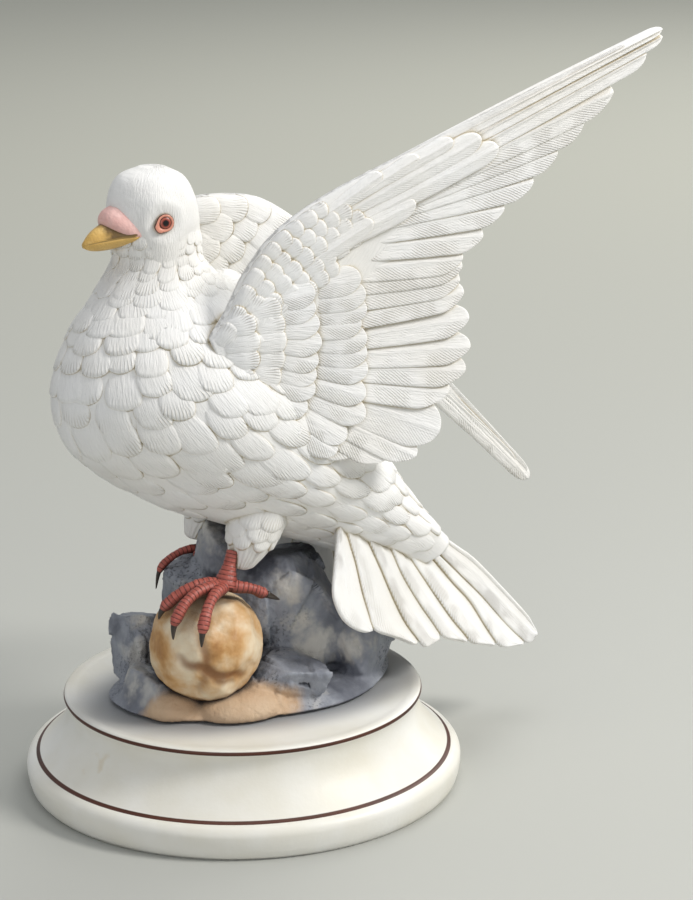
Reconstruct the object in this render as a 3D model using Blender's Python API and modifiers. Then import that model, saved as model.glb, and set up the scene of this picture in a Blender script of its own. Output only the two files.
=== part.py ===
# A slip-cast bisque dove with raised wings, standing on a painted rock, on a turned plinth.
# The plinth is one solid. The dove, its feet and the rock were cast and fired as one, so they
# are the other. Blender units are metres, +Z is up, the dove faces -Y and its left side is +X.
import math
import random

import bmesh
import bpy
import numpy as np

# Driving sizes of the plinth, in metres
foot_diameter = 0.180
plinth_height = 0.0395
rim_diameter = 0.1478
waist_diameter = 0.1428
foot_band_height = 0.0140
rim_round = 0.0016
rim_lip = 0.0018
foot_round = 0.0045
plinth_sides = 36

# The figure rests on the plinth with this gap, and is this high from rock to wing tip
rest_gap = 0.0003
figure_height = 0.2665

# The figure is drawn in its own units: its wing tip is drawing_top high, its rock starts at
# drawing_base, and the drawing is brought to figure_height when a mesh is made.
drawing_base = 40.0
drawing_top = 306.5
unit = figure_height / (drawing_top - drawing_base)

# Body: front (or under) edge y and z, back (or upper) edge y and z, half width, head to tail
body_sections = (
    (-39.0, 259.8, -29.0, 259.6, 5.5),
    (-47.5, 256.0, -21.5, 254.8, 13.0),
    (-51.5, 249.0, -17.5, 246.0, 16.5),
    (-53.0, 240.0, -16.0, 238.0, 17.5),
    (-52.0, 230.0, -15.5, 230.0, 16.5),
    (-51.0, 222.0, -15.0, 222.0, 16.5),
    (-59.0, 210.0, -8.0, 214.0, 20.0),
    (-69.0, 196.0, 4.0, 203.0, 28.0),
    (-76.0, 180.0, 16.0, 190.0, 36.0),
    (-77.0, 164.0, 28.0, 176.0, 41.0),
    (-69.0, 146.0, 40.0, 162.0, 42.0),
    (-49.0, 130.0, 52.0, 147.0, 39.5),
    (-22.0, 116.0, 62.0, 133.0, 36.0),
    (6.0, 106.0, 70.0, 121.0, 30.5),
    (32.0, 96.0, 78.0, 109.0, 25.0),
    (53.0, 86.0, 87.0, 99.0, 20.0),
    (68.0, 78.0, 96.0, 89.0, 14.0),
)
head_rings = 5
scale_rows = 12
scales_around = 14
first_scale_row = 5.2
last_scale_row = 15.4
scale_lift = 1.5
head_turn = math.radians(9.0)
head_turn_from = 214.0
head_turn_to = 236.0
neck_axis_y = -34.0
keel_taper = 0.20


def through(knots, t):
    # a smooth curve through the knots, which are evenly spaced in t from 0 to 1
    knots = np.asarray(knots, float)
    spans = len(knots) - 1
    place = min(max(t, 0.0), 1.0) * spans
    i = min(int(place), spans - 1)
    f = place - i
    b = knots[i]
    c = knots[i + 1]
    a = knots[i - 1] if i > 0 else 2 * b - c
    d = knots[i + 2] if i + 2 <= spans else 2 * c - b
    return 0.5 * (2 * b + (c - a) * f + (2 * a - 5 * b + 4 * c - d) * f ** 2
                  + (3 * b - 3 * c + d - a) * f ** 3)


def normal(v):
    v = np.asarray(v, float)
    return v / np.linalg.norm(v)


def world(point):
    # a point of the figure's drawing, in metres on the plinth
    lift = plinth_height + rest_gap
    return (point[0] * unit, point[1] * unit, lift + (point[2] - drawing_base) * unit)


def loft(bm, rings):
    # rings of equal count joined one to the next, with a flat face on both ends
    made = []
    for ring in rings:
        made.append([bm.verts.new(world(p)) for p in ring])
    count = len(made[0])
    faces = []
    for low, high in zip(made, made[1:]):
        for i in range(count):
            j = (i + 1) % count
            faces.append(bm.faces.new((low[i], low[j], high[j], high[i])))
    faces.append(bm.faces.new(made[0][::-1]))
    faces.append(bm.faces.new(made[-1]))
    bmesh.ops.recalc_face_normals(bm, faces=faces)
    return made


def new_object(name, bm, collection):
    mesh = bpy.data.meshes.new(name)
    bm.to_mesh(mesh)
    bm.free()
    made = bpy.data.objects.new(name, mesh)
    collection.objects.link(made)
    return made


def solid(name, rings, collection):
    bm = bmesh.new()
    loft(bm, rings)
    return new_object(name, bm, collection)


def new_material(name, colour, roughness):
    material = bpy.data.materials.new(name)
    material.use_nodes = True
    shader = material.node_tree.nodes["Principled BSDF"]
    shader.inputs["Base Color"].default_value = (*colour, 1.0)
    shader.inputs["Roughness"].default_value = roughness
    shader.inputs["Metallic"].default_value = 0.0
    return material


# Plinth: a turned profile, from the rim's middle out over the edge and down to the foot
def arc(cx, cz, radius, start, end, steps):
    points = []
    for i in range(steps + 1):
        angle = math.radians(start + (end - start) * i / steps)
        points.append((cx + radius * math.cos(angle), cz + radius * math.sin(angle)))
    return points


def plinth_profile():
    rim = rim_diameter / 2
    foot = foot_diameter / 2
    waist = waist_diameter / 2
    top = plinth_height
    band = foot_band_height
    outline = [(0.0, top)]
    outline += arc(rim - rim_round, top - rim_round, rim_round, 90, 0, 2)
    # the hollow sweep from the rim's lip to the foot band
    sweep_top = top - 1.8 * rim_round
    shoulder = foot - foot_round
    for i in range(7):
        f = i / 6
        drop = sweep_top - (sweep_top - band) * f
        outline.append((waist + rim_lip * (1 - f) ** 7 + (shoulder - waist) * f ** 2, drop))
    outline += arc(foot - foot_round, band - foot_round, foot_round, 60, 0, 2)
    outline += [(foot - 0.25 * foot_round, 0.15 * band), (foot - 0.6 * foot_round, 0.0)]
    outline.append((0.0, 0.0))
    return outline


def make_plinth(collection):
    mesh = bpy.data.meshes.new("plinth")
    points = [(x, 0.0, z) for x, z in plinth_profile()]
    edges = [(i, i + 1) for i in range(len(points) - 1)]
    mesh.from_pydata(points, edges, [])
    plinth = bpy.data.objects.new("plinth", mesh)
    collection.objects.link(plinth)
    screw = plinth.modifiers.new("turned", "SCREW")
    screw.axis = "Z"
    screw.angle = 2 * math.pi
    screw.steps = plinth_sides
    screw.render_steps = plinth_sides
    screw.use_merge_vertices = True
    screw.merge_threshold = 0.0001
    screw.use_smooth_shade = False
    mesh.materials.append(new_material("plinth_bisque", (0.80, 0.79, 0.74), 0.55))
    return plinth


# Body and head: one loft whose feather rows overlap like shingles
def turned_with_head(point):
    # the head looks a little to the dove's left, and the neck follows it
    share = (point[2] - head_turn_from) / (head_turn_to - head_turn_from)
    share = min(max(share, 0.0), 1.0)
    angle = head_turn * share * share * (3 - 2 * share)
    x = point[0]
    y = point[1] - neck_axis_y
    return (x * math.cos(angle) - y * math.sin(angle),
            x * math.sin(angle) + y * math.cos(angle) + neck_axis_y, point[2])


def body_share(section):
    # 0 on the head, 1 from the breast back
    return min(max((section - 6.0) / 3.0, 0.0), 1.0)


def body_point(section, angle, lift=0.0):
    # angle 0 is the back's middle, pi the breast's, and the left side lies between
    fy, fz, by, bz, half = through(body_sections, section / (len(body_sections) - 1))
    reach = math.hypot(by - fy, bz - fz) / 2
    grow = (reach + lift) / reach
    # the section is narrower towards the keel than towards the back
    across = (half + lift) * math.sin(angle) * (1 + keel_taper * body_share(section)
                                                * math.cos(angle))
    along = grow * math.cos(angle)
    y = (fy + by) / 2 + (by - fy) / 2 * along
    z = (fz + bz) / 2 + (bz - fz) / 2 * along
    return turned_with_head((across, y, z))


def body_rings():
    around = 2 * scales_around
    rings = []
    for k in range(head_rings):
        section = first_scale_row * (k / head_rings) ** 1.35
        rings.append([body_point(section, 2 * math.pi * i / around) for i in range(around)])
    row_length = (last_scale_row - first_scale_row) / scale_rows
    for k in range(scale_rows):
        start = first_scale_row + row_length * k
        tip_ring = []
        under_ring = []
        for i in range(around):
            angle = 2 * math.pi * i / around
            # a scale's tip is on every second column, and the rows are set half a scale apart
            inner = 1.0 if (i + k) % 2 == 0 else 0.0
            place = start + row_length * (0.15 + 0.75 * inner)
            lift = scale_lift * (0.25 + 0.75 * inner)
            tip_ring.append(body_point(place, angle, lift))
            under_ring.append(body_point(place + 0.12 * row_length, angle, 0.0))
        rings.append(tip_ring)
        rings.append(under_ring)
    end = len(body_sections) - 1
    rings.append([body_point(end, 2 * math.pi * i / around) for i in range(around)])
    return rings


# Bill, with the swollen cere over its root, and a low ring around each eye
bill_knots = (
    (-44.0, 235.5, 9.0, 7.5),
    (-51.0, 235.0, 7.5, 6.5),
    (-57.0, 233.5, 5.2, 4.8),
    (-62.0, 231.5, 3.2, 3.4),
    (-65.5, 229.5, 1.0, 1.2),
)
cere_centre = (0.0, -51.5, 240.0)
cere_size = (8.0, 9.0, 5.2)
eye_centre = (15.3, -39.5, 239.5)
eye_size = (2.4, 5.0, 5.0)


def oval_ring(centre, across, up, sides):
    ring = []
    for i in range(sides):
        a = 2 * math.pi * i / sides
        ring.append(np.asarray(centre) + np.asarray(across) * math.cos(a)
                    + np.asarray(up) * math.sin(a))
    return ring


def make_bill(collection):
    rings = []
    for y, z, half, rise in bill_knots:
        ring = oval_ring((0.0, y, z), (half, 0.0, 0.0), (0.0, 0.0, rise), 10)
        rings.append([turned_with_head(p) for p in ring])
    solid("bill", rings, collection)


def lump(name, centre, size, collection, turned=False, levels=2):
    # a faceted sphere stretched to a size, for the soft round parts
    bm = bmesh.new()
    bmesh.ops.create_icosphere(bm, subdivisions=levels, radius=1.0)
    for v in bm.verts:
        point = tuple(centre[k] + size[k] * v.co[k] for k in range(3))
        v.co = world(turned_with_head(point) if turned else point)
    return new_object(name, bm, collection)


# A feather is a tongue: its leading edge is sharp, a shaft ridge runs down its middle and its
# trailing edge is proud and thick. Widths are shares of the feather's own width.
feather_steps = ((0.0, 0.80), (0.82, 1.0), (1.0, 0.38))


def make_feather(name, root, tip, edge, face, width, thick, bend, collection):
    # edge points to the trailing edge and face to the side that shows
    root = np.asarray(root, float)
    tip = np.asarray(tip, float)
    along = normal(tip - root)
    face = normal(face)
    edge = normal(np.asarray(edge, float) - along * np.dot(along, edge))
    rings = []
    for t, share in feather_steps:
        middle = root + (tip - root) * t + face * bend * math.sin(math.pi * t)
        half = width * share / 2
        tilt = 0.45 * thick
        lead = middle - edge * half - face * tilt
        shaft = middle + face * thick * 0.55 - edge * 0.1 * width
        trail = middle + edge * half + face * tilt
        rings.append([lead, shaft, trail, trail - face * thick])
    solid(name, rings, collection)


def feather_row(name, wing, roots, tips, count, width, thick, lift, collection, ends=(0.0, 1.0)):
    # count feathers between two lines of the wing's own plane, from the leading edge back
    for i in range(count):
        t = ends[0] + (ends[1] - ends[0]) * i / (count - 1)
        root = through(roots, t)
        tip = through(tips, t)
        root_point = on_wing(wing, root[0], root[1], lift)
        tip_point = on_wing(wing, tip[0], tip[1], lift + 0.6 * thick)
        flat = tip - root
        edge = wing["span"] * flat[1] - wing["rise"] * flat[0]
        size = width[0] + (width[1] - width[0]) * t
        make_feather(f"{name}_{i}", root_point, tip_point, edge, wing["face"], size, thick,
                     wing["bend"], collection)


def wing_frame(shoulder, span, rise, bow, bend):
    span = normal(span)
    rise = normal(np.asarray(rise, float) - span * np.dot(span, rise))
    face = normal(np.cross(span, rise))
    if face[0] < 0:
        face = -face
    return {"shoulder": np.asarray(shoulder, float), "span": span, "rise": rise,
            "face": face, "bow": bow, "bend": bend}


def on_wing(wing, p, q, lift):
    # p runs out along the wing and q up to its leading edge; the wing is a little hollow
    hollow = wing["bow"] * (q - 38.0) * (q + 81.0)
    return (wing["shoulder"] + wing["span"] * p + wing["rise"] * q
            + wing["face"] * (lift + hollow))


def make_wing_core(name, wing, stations, collection):
    # the arm and the web that carry the feathers: p, top edge q, bottom edge q, thickness
    rings = []
    for p, top, bottom, thick in stations:
        ring = []
        for share, rise in ((0.0, 0.35), (0.12, 1.0), (0.45, 0.8), (1.0, 0.12)):
            ring.append(on_wing(wing, p, top + (bottom - top) * share, thick * rise / 2))
        for share, rise in ((1.0, 0.12), (0.45, 0.8), (0.12, 1.0), (0.0, 0.35)):
            ring.append(on_wing(wing, p, top + (bottom - top) * share, -thick * rise / 2))
        rings.append(ring)
    solid(name, rings, collection)


# The right shoulder, which joins that wing to the body, and the rounded elbow behind it
shoulder_lumps = (((-33.0, -8.0, 196.0), (14.0, 15.0, 18.0)),
                  ((-21.0, 6.0, 199.0), (9.0, 9.0, 8.0)))

# Near (left) wing, raised and spread: lines in its own plane, from the leading edge back
near_flight_tips = ((202.5, 35.5), (176.0, 16.5), (143.0, 4.0), (102.0, -13.5),
                    (87.5, -33.0), (78.0, -53.0), (58.0, -72.0), (36.0, -81.0))
near_flight_roots = ((104.0, 27.0), (76.0, 17.0), (60.0, 9.0), (50.0, 1.0),
                     (46.0, -12.0), (42.0, -26.0), (34.0, -38.0), (22.0, -48.0))
near_greater_tips = ((47.0, -4.0), (46.0, -22.0), (44.0, -39.0), (33.0, -47.0), (20.0, -57.0))
near_greater_roots = ((24.0, 8.0), (23.0, -8.0), (20.0, -20.0), (14.0, -28.0), (6.0, -34.0))
near_median_tips = ((29.0, 3.0), (28.0, -13.0), (24.0, -25.0), (14.0, -36.0), (5.0, -45.0))
near_median_roots = ((10.0, 12.0), (8.0, -2.0), (5.0, -10.0), (0.0, -18.0), (-5.0, -25.0))
near_lesser_tips = ((16.0, 8.0), (13.0, -6.0), (7.0, -17.0), (-3.0, -28.0))
near_lesser_roots = ((0.0, 8.0), (-3.0, -2.0), (-6.0, -9.0), (-11.0, -14.0))
near_edge_tips = ((160.0, 31.0), (123.0, 24.0), (86.0, 19.0), (60.0, 17.0))
near_edge_roots = ((60.0, 32.0), (40.0, 27.0), (24.0, 21.0), (10.0, 14.0))
near_core = ((-12.0, 4.0, -24.0, 9.0), (-2.0, 10.0, -42.0, 12.0), (12.0, 22.0, -53.0, 11.0),
             (28.0, 31.0, -50.0, 9.5), (50.0, 35.5, -22.0, 8.0), (76.0, 36.5, 2.0, 6.5),
             (104.0, 36.8, 15.0, 5.5), (142.0, 37.5, 24.0, 4.5), (188.0, 37.6, 33.0, 3.0))

# Far (right) wing, raised at the wrist with its flight feathers half closed
far_flight_tips = ((173.0, 23.0), (150.0, 19.0), (122.0, 8.0), (96.0, -6.0), (74.0, -20.0),
                   (48.0, -33.0))
far_flight_roots = ((80.0, 28.0), (62.0, 22.0), (46.0, 14.0), (34.0, 4.0), (22.0, -6.0),
                    (8.0, -16.0))
far_greater_tips = ((66.0, 20.0), (54.0, 2.0), (40.0, -12.0), (20.0, -26.0), (2.0, -36.0))
far_greater_roots = ((30.0, 28.0), (20.0, 14.0), (8.0, 2.0), (-6.0, -8.0), (-18.0, -18.0))
far_median_tips = ((36.0, 27.0), (26.0, 10.0), (12.0, -3.0), (-4.0, -14.0), (-14.0, -24.0))
far_median_roots = ((4.0, 30.0), (-4.0, 20.0), (-14.0, 8.0), (-22.0, -2.0), (-30.0, -12.0))
far_lesser_tips = ((14.0, 30.0), (0.0, 18.0), (-12.0, 6.0), (-20.0, -6.0))
far_lesser_roots = ((-14.0, 28.0), (-22.0, 18.0), (-30.0, 6.0), (-34.0, -6.0))
far_core = ((-40.0, 8.0, -22.0, 9.0), (-32.0, 19.0, -36.0, 12.0), (-16.0, 31.5, -38.0, 11.0),
            (4.0, 36.5, -30.0, 9.5), (30.0, 38.0, -10.0, 8.0), (60.0, 36.5, 8.0, 7.0),
            (95.0, 32.0, 18.0, 6.0), (130.0, 28.0, 20.0, 4.5), (162.0, 24.0, 21.0, 3.0))


def make_wings(collection):
    near = wing_frame((36.0, -15.0, 196.0), (0.129, 0.92, 0.371), (-0.064, -0.366, 0.929),
                      0.0011, 1.0)
    make_wing_core("near_core", near, near_core, collection)
    feather_row("near_flight", near, near_flight_roots, near_flight_tips, 18, (16.0, 17.5),
                1.9, 0.6, collection)
    feather_row("near_greater", near, near_greater_roots, near_greater_tips, 8, (13.0, 13.0),
                1.8, 3.4, collection)
    feather_row("near_median", near, near_median_roots, near_median_tips, 6, (14.0, 14.0),
                1.8, 4.6, collection)
    feather_row("near_lesser", near, near_lesser_roots, near_lesser_tips, 3, (15.0, 15.0),
                1.8, 5.6, collection)
    feather_row("near_edge", near, near_edge_roots, near_edge_tips, 4, (12.0, 13.0),
                2.4, 2.4, collection)
    far = wing_frame((-44.0, 20.0, 200.0), (0.05, 0.708, -0.704), (0.0, 0.704, 0.708),
                     0.0006, 1.0)
    make_wing_core("far_core", far, far_core, collection)
    feather_row("far_flight", far, far_flight_roots, far_flight_tips, 9, (13.0, 20.0),
                1.9, 0.6, collection)
    feather_row("far_greater", far, far_greater_roots, far_greater_tips, 6, (13.0, 15.0),
                1.8, 3.2, collection)
    feather_row("far_median", far, far_median_roots, far_median_tips, 5, (15.0, 15.0),
                1.8, 4.4, collection)
    feather_row("far_lesser", far, far_lesser_roots, far_lesser_tips, 3, (17.0, 15.0),
                1.8, 5.2, collection)


# Tail: a drooping fan, drawn from its middle feather to the outermost left one
tail_tips = ((0.0, 143.5, 36.0), (7.5, 132.5, 31.5), (15.0, 114.5, 33.5), (23.0, 95.0, 41.5),
             (30.0, 79.0, 48.5), (37.0, 63.0, 52.5), (46.0, 31.0, 71.0))
tail_roots = ((0.0, 82.0, 101.0), (7.0, 72.0, 98.0), (12.5, 64.0, 101.0), (17.0, 57.0, 103.0),
              (20.0, 48.0, 105.0), (22.0, 38.0, 109.0), (24.0, 34.0, 113.0))
tail_feathers = 7
tail_width = 18.0
tail_thickness = 2.4


def make_tail(collection):
    for i in range(tail_feathers):
        t = i / (tail_feathers - 1)
        root = through(tail_roots, t)
        tip = through(tail_tips, t)
        before = through(tail_tips, t - 0.08) if t > 0.08 else through(tail_tips, 0.0)
        after = through(tail_tips, t + 0.08) if t < 0.92 else through(tail_tips, 1.0)
        sideways = normal(after - before)
        if i == 0:
            sideways = np.array((1.0, 0.0, 0.0))
        face = normal(np.cross(tip - root, sideways))
        if face[2] < 0:
            face = -face
        if i == 0:
            make_feather("tail_middle", root, tip, sideways, face, tail_width, tail_thickness,
                         1.5, collection)
            continue
        for side in (1.0, -1.0):
            flip = np.array((side, 1.0, 1.0))
            make_feather(f"tail_{i}_{side:.0f}", root * flip, tip * flip, -sideways * flip,
                         face * flip, tail_width, tail_thickness, 1.5, collection)


# Legs: a feathered thigh, a bare shank and four toes with claws, as tapered tubes
thigh_knots = ((17.0, 14.0, 134.0, 12.0), (20.5, 3.0, 119.0, 15.0), (23.0, -5.0, 108.0, 11.5),
               (23.0, -12.0, 98.0, 7.5))
left_toes = (
    ((24.0, -19.0, 93.0), (24.0, -28.0, 94.5), (22.5, -37.0, 91.5), (20.5, -43.5, 86.0),
     (19.0, -45.5, 80.0)),
    ((25.0, -19.0, 93.0), (29.0, -30.0, 94.0), (32.0, -39.0, 90.5), (33.5, -44.5, 84.0),
     (32.5, -45.0, 75.0)),
    ((26.0, -19.0, 93.0), (32.0, -26.0, 92.5), (38.0, -32.5, 88.0), (41.0, -36.0, 81.5),
     (40.5, -36.5, 73.0)),
    ((25.0, -18.0, 93.0), (28.0, -9.0, 90.5), (29.5, -3.0, 88.0), (29.0, 4.0, 84.0)),
)
right_toes = (
    ((-18.0, -6.0, 94.0), (-13.5, -16.0, 95.5), (-11.5, -25.0, 90.5), (-10.5, -31.0, 80.0)),
    ((-20.0, -5.0, 94.0), (-20.0, -17.0, 94.5), (-21.0, -25.0, 89.5), (-21.0, -28.0, 80.0)),
    ((-21.0, -6.0, 94.0), (-26.0, -14.0, 93.5), (-30.0, -20.0, 88.5), (-32.0, -22.0, 79.0)),
    ((-20.0, -5.0, 93.5), (-21.0, 4.0, 90.0), (-22.0, 9.0, 84.0)),
)
toe_radius = 3.0
claw_radius = 0.7
shank_radius = 4.0


def tube(name, points, radii, collection):
    # a curve with its own radius at each point, made a mesh with its caps welded
    curve = bpy.data.curves.new(name, "CURVE")
    curve.dimensions = "3D"
    curve.bevel_depth = 1.0
    curve.bevel_resolution = 1
    curve.use_fill_caps = True
    line = curve.splines.new("POLY")
    line.points.add(len(points) - 1)
    for spot, point, radius in zip(line.points, points, radii):
        spot.co = (*world(point), 1.0)
        spot.radius = radius * unit
    guide = bpy.data.objects.new(name, curve)
    collection.objects.link(guide)
    depsgraph = bpy.context.evaluated_depsgraph_get()
    mesh = bpy.data.meshes.new_from_object(guide.evaluated_get(depsgraph))
    bm = bmesh.new()
    bm.from_mesh(mesh)
    bmesh.ops.remove_doubles(bm, verts=bm.verts, dist=0.00001)
    bmesh.ops.recalc_face_normals(bm, faces=bm.faces)
    bpy.data.objects.remove(guide)
    return new_object(name, bm, collection)


def make_legs(collection):
    for side in (1.0, -1.0):
        rings = []
        for x, y, z, radius in thigh_knots:
            rings.append(oval_ring((x * side, y, z), (radius, 0.0, 0.0),
                                   (0.0, radius, -0.35 * radius), 8))
        solid("thigh", rings, collection)
        toes = left_toes if side > 0 else right_toes
        heel = np.mean([toe[0] for toe in toes], axis=0)
        tube("shank", (np.array((23.0 * side, -11.0, 103.0)), heel + (0.0, 0.0, -1.0)),
             (shank_radius, shank_radius), collection)
        lump("heel", heel, (4.6, 4.6, 4.0), collection, levels=1)
        for toe in toes:
            count = len(toe)
            radii = [toe_radius * 1.15] + [toe_radius] * (count - 2) + [claw_radius]
            tube("toe", toe, radii, collection)


# Rock: rounded blocks and boulders fused on a low oval mound
mound_centre = (2.0, 4.5)
mound_half = (41.0, 63.0)
mound_rise = 9.0
mound_sides = 22
ball_centre = (19.5, -25.0, 67.5)
ball_radius = 23.0
rock_blocks = (
    # centre, half sizes, turn about Z in degrees, blockiness
    ((-6.0, -4.0, 84.0), (12.0, 12.0, 31.0), 20.0, 0.55),
    ((-19.0, -10.0, 68.0), (15.0, 15.0, 24.0), -10.0, 0.60),
    ((-3.0, 18.0, 69.0), (24.0, 25.0, 30.0), 4.0, 0.45),
    ((14.0, 44.0, 50.0), (13.0, 13.0, 20.0), 25.0, 0.55),
    ((-18.0, -37.0, 54.0), (13.0, 11.0, 15.0), 15.0, 0.50),
    ((22.0, 10.0, 51.0), (15.0, 16.0, 13.0), -20.0, 0.65),
    ((4.0, -42.0, 46.0), (16.0, 12.0, 8.0), 10.0, 0.80),
    ((26.0, -22.0, 42.0), (15.0, 24.0, 6.0), -5.0, 0.80),
)
rock_roughness = 0.06


def make_block(index, centre, half, turn, blockiness, collection):
    chance = random.Random(index)
    bm = bmesh.new()
    bmesh.ops.create_icosphere(bm, subdivisions=2, radius=1.0)
    c = math.cos(math.radians(turn))
    s = math.sin(math.radians(turn))
    for v in bm.verts:
        # a low power pushes the sphere's points out towards a block's corners
        corner = [math.copysign(abs(k) ** blockiness, k) for k in v.co]
        swell = 1.0 + rock_roughness * chance.uniform(-1.0, 1.0)
        x, y, z = (corner[k] * half[k] * swell for k in range(3))
        z = max(centre[2] + z, drawing_base + 0.5)
        v.co = world((centre[0] + x * c - y * s, centre[1] + x * s + y * c, z))
    new_object("block", bm, collection)


def make_rock(collection):
    rings = []
    for share, rise in ((1.0, 0.0), (0.985, 0.25), (0.88, 0.62), (0.6, 1.0)):
        ring = []
        for i in range(mound_sides):
            angle = 2 * math.pi * i / mound_sides
            wave = 1.0 + 0.03 * math.sin(3 * angle + 1.0) + 0.02 * math.sin(5 * angle)
            ring.append((mound_centre[0] + mound_half[0] * share * wave * math.cos(angle),
                         mound_centre[1] + mound_half[1] * share * wave * math.sin(angle),
                         drawing_base + mound_rise * rise))
        rings.append(ring)
    solid("mound", rings, collection)
    for index, block in enumerate(rock_blocks):
        make_block(index, *block, collection)
    bm = bmesh.new()
    bmesh.ops.create_uvsphere(bm, u_segments=14, v_segments=9, radius=ball_radius)
    for v in bm.verts:
        v.co = world([ball_centre[k] + v.co[k] for k in range(3)])
    new_object("ball", bm, collection)


def make_figure(collection, pieces):
    make_rock(pieces)
    make_legs(pieces)
    make_bill(pieces)
    lump("cere", cere_centre, cere_size, pieces, turned=True)
    for side in (1.0, -1.0):
        lump("eye", (eye_centre[0] * side, *eye_centre[1:]), eye_size, pieces, turned=True,
             levels=1)
    for centre, size in shoulder_lumps:
        lump("shoulder", centre, size, pieces, levels=1)
    make_wings(pieces)
    make_tail(pieces)
    bm = bmesh.new()
    loft(bm, body_rings())
    figure = new_object("dove_on_rock", bm, collection)
    figure.data.materials.append(new_material("bisque", (0.86, 0.85, 0.82), 0.5))
    fused = figure.modifiers.new("cast_as_one", "BOOLEAN")
    fused.operation = "UNION"
    fused.solver = "EXACT"
    fused.operand_type = "COLLECTION"
    fused.collection = pieces
    return figure


def main():
    for old in list(bpy.data.objects):
        bpy.data.objects.remove(old)
    statue = bpy.data.collections.new("dove_statue")
    pieces = bpy.data.collections.new("fused_shapes")
    bpy.context.scene.collection.children.link(statue)
    bpy.context.scene.collection.children.link(pieces)
    make_plinth(statue)
    make_figure(statue, pieces)
    for shape in pieces.objects:
        shape.hide_render = True
        shape.display_type = "WIRE"


main()
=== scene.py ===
import math
import random

import bpy
import numpy as np
from mathutils import Matrix, Vector, noise


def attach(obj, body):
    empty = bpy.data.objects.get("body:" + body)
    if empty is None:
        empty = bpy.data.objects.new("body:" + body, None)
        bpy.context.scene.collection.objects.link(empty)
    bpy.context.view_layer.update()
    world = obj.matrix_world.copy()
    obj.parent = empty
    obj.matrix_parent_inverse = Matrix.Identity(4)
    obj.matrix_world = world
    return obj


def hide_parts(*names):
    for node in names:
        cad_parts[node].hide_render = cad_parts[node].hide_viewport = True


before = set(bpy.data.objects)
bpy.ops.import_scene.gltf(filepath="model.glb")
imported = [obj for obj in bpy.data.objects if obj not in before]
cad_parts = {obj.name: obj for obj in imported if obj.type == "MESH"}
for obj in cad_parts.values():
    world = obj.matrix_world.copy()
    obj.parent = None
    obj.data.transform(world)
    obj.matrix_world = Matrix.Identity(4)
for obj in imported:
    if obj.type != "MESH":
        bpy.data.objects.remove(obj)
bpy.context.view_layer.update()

# Dove figurine: unglazed slip-cast porcelain, raised wings, painted rock, turned plinth.
# Shapes are drawn in millimetres, standing on the table, and made metres by toMetres.
bpy.ops.object.select_all(action="DESELECT")
chance = random.Random(11)
noise.seed_set(11)  # noise_vector starts from the clock without it


# small tools, used by every piece
def toLinear(hexColour):
    parts = [int(hexColour[i:i + 2], 16) / 255 for i in (1, 3, 5)]
    return [c / 12.92 if c <= 0.04045 else ((c + 0.055) / 1.055) ** 2.4 for c in parts] + [1.0]


def addNode(tree, kind, inputs=None, **settings):
    # inputs holds plain values, or another node's output socket to link from; on a Mix 0 is
    # the factor and 6 and 7 the colours, on a MapRange 1 and 2 are from, 3 and 4 to
    node = tree.nodes.new("ShaderNode" + kind)
    for key, value in settings.items():
        setattr(node, key, value)
    for key, value in (inputs or {}).items():
        if isinstance(value, bpy.types.NodeSocket):
            tree.links.new(value, node.inputs[key])
        else:
            node.inputs[key].default_value = value
    return node


def startMaterial(name, finish):
    # a fresh Principled material with its plain sockets set
    material = bpy.data.materials.new(name)
    material.use_nodes = True
    shader = material.node_tree.nodes["Principled BSDF"]
    for socket, value in finish.items():
        shader.inputs[socket].default_value = value
    return material, material.node_tree, shader


def toMetres(points):
    # all but the plinth is drawn 0.2 mm too high, and is set down on it here
    return (np.asarray(points, float) - (0.0, 0.0, 0.2)) * 0.001


def through(knots, t):
    # smooth curve through evenly spaced knots, t from 0 to 1, for many t at once
    knots = np.asarray(knots, float)
    spans = len(knots) - 1
    place = np.clip(np.atleast_1d(np.asarray(t, float)), 0, 1) * spans
    i = np.minimum(place.astype(int), spans - 1)
    f = (place - i)[:, None]
    padded = np.vstack((2 * knots[0] - knots[1], knots, 2 * knots[-1] - knots[-2]))
    a, b, c, d = (padded[i + k] for k in range(4))
    return 0.5 * (2 * b + (c - a) * f + (2 * a - 5 * b + 4 * c - d) * f ** 2
                  + (3 * b - 3 * c + d - a) * f ** 3)


def unitVector(v):
    v = np.asarray(v, float)
    return v / np.linalg.norm(v)


def ease(low, high, x):
    s = np.clip((np.asarray(x, float) - low) / (high - low), 0, 1)
    return s * s * (3 - 2 * s)


def readPoints(piece):
    co = np.empty(len(piece.data.vertices) * 3)
    piece.data.vertices.foreach_get("co", co)
    return co.reshape(-1, 3)


def writePoints(piece, points):
    piece.data.vertices.foreach_set("co", np.ascontiguousarray(points, float).ravel())
    piece.data.update()


def writeGuide(piece, name, values):
    # a per-point guide that a material reads: strokes and comb lines follow it
    guide = piece.data.attributes.new(name, "FLOAT_VECTOR", "POINT")
    guide.data.foreach_set("vector", np.ascontiguousarray(values, float).ravel())


def onlySelect(*pieces):
    bpy.ops.object.select_all(action="DESELECT")
    for piece in pieces:
        piece.select_set(True)
    bpy.context.view_layer.objects.active = pieces[0]


def applyModifier(piece, kind, **settings):
    onlySelect(piece)
    modifier = piece.modifiers.new(kind.lower(), kind)
    for key, value in settings.items():
        setattr(modifier, key, value)
    bpy.ops.object.modifier_apply(modifier=modifier.name)


def addGrid(name, columns, rows):
    bpy.ops.object.select_all(action="DESELECT")
    bpy.ops.mesh.primitive_grid_add(x_subdivisions=columns, y_subdivisions=rows, size=2)
    piece = bpy.context.object
    piece.name = name
    return piece


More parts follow.
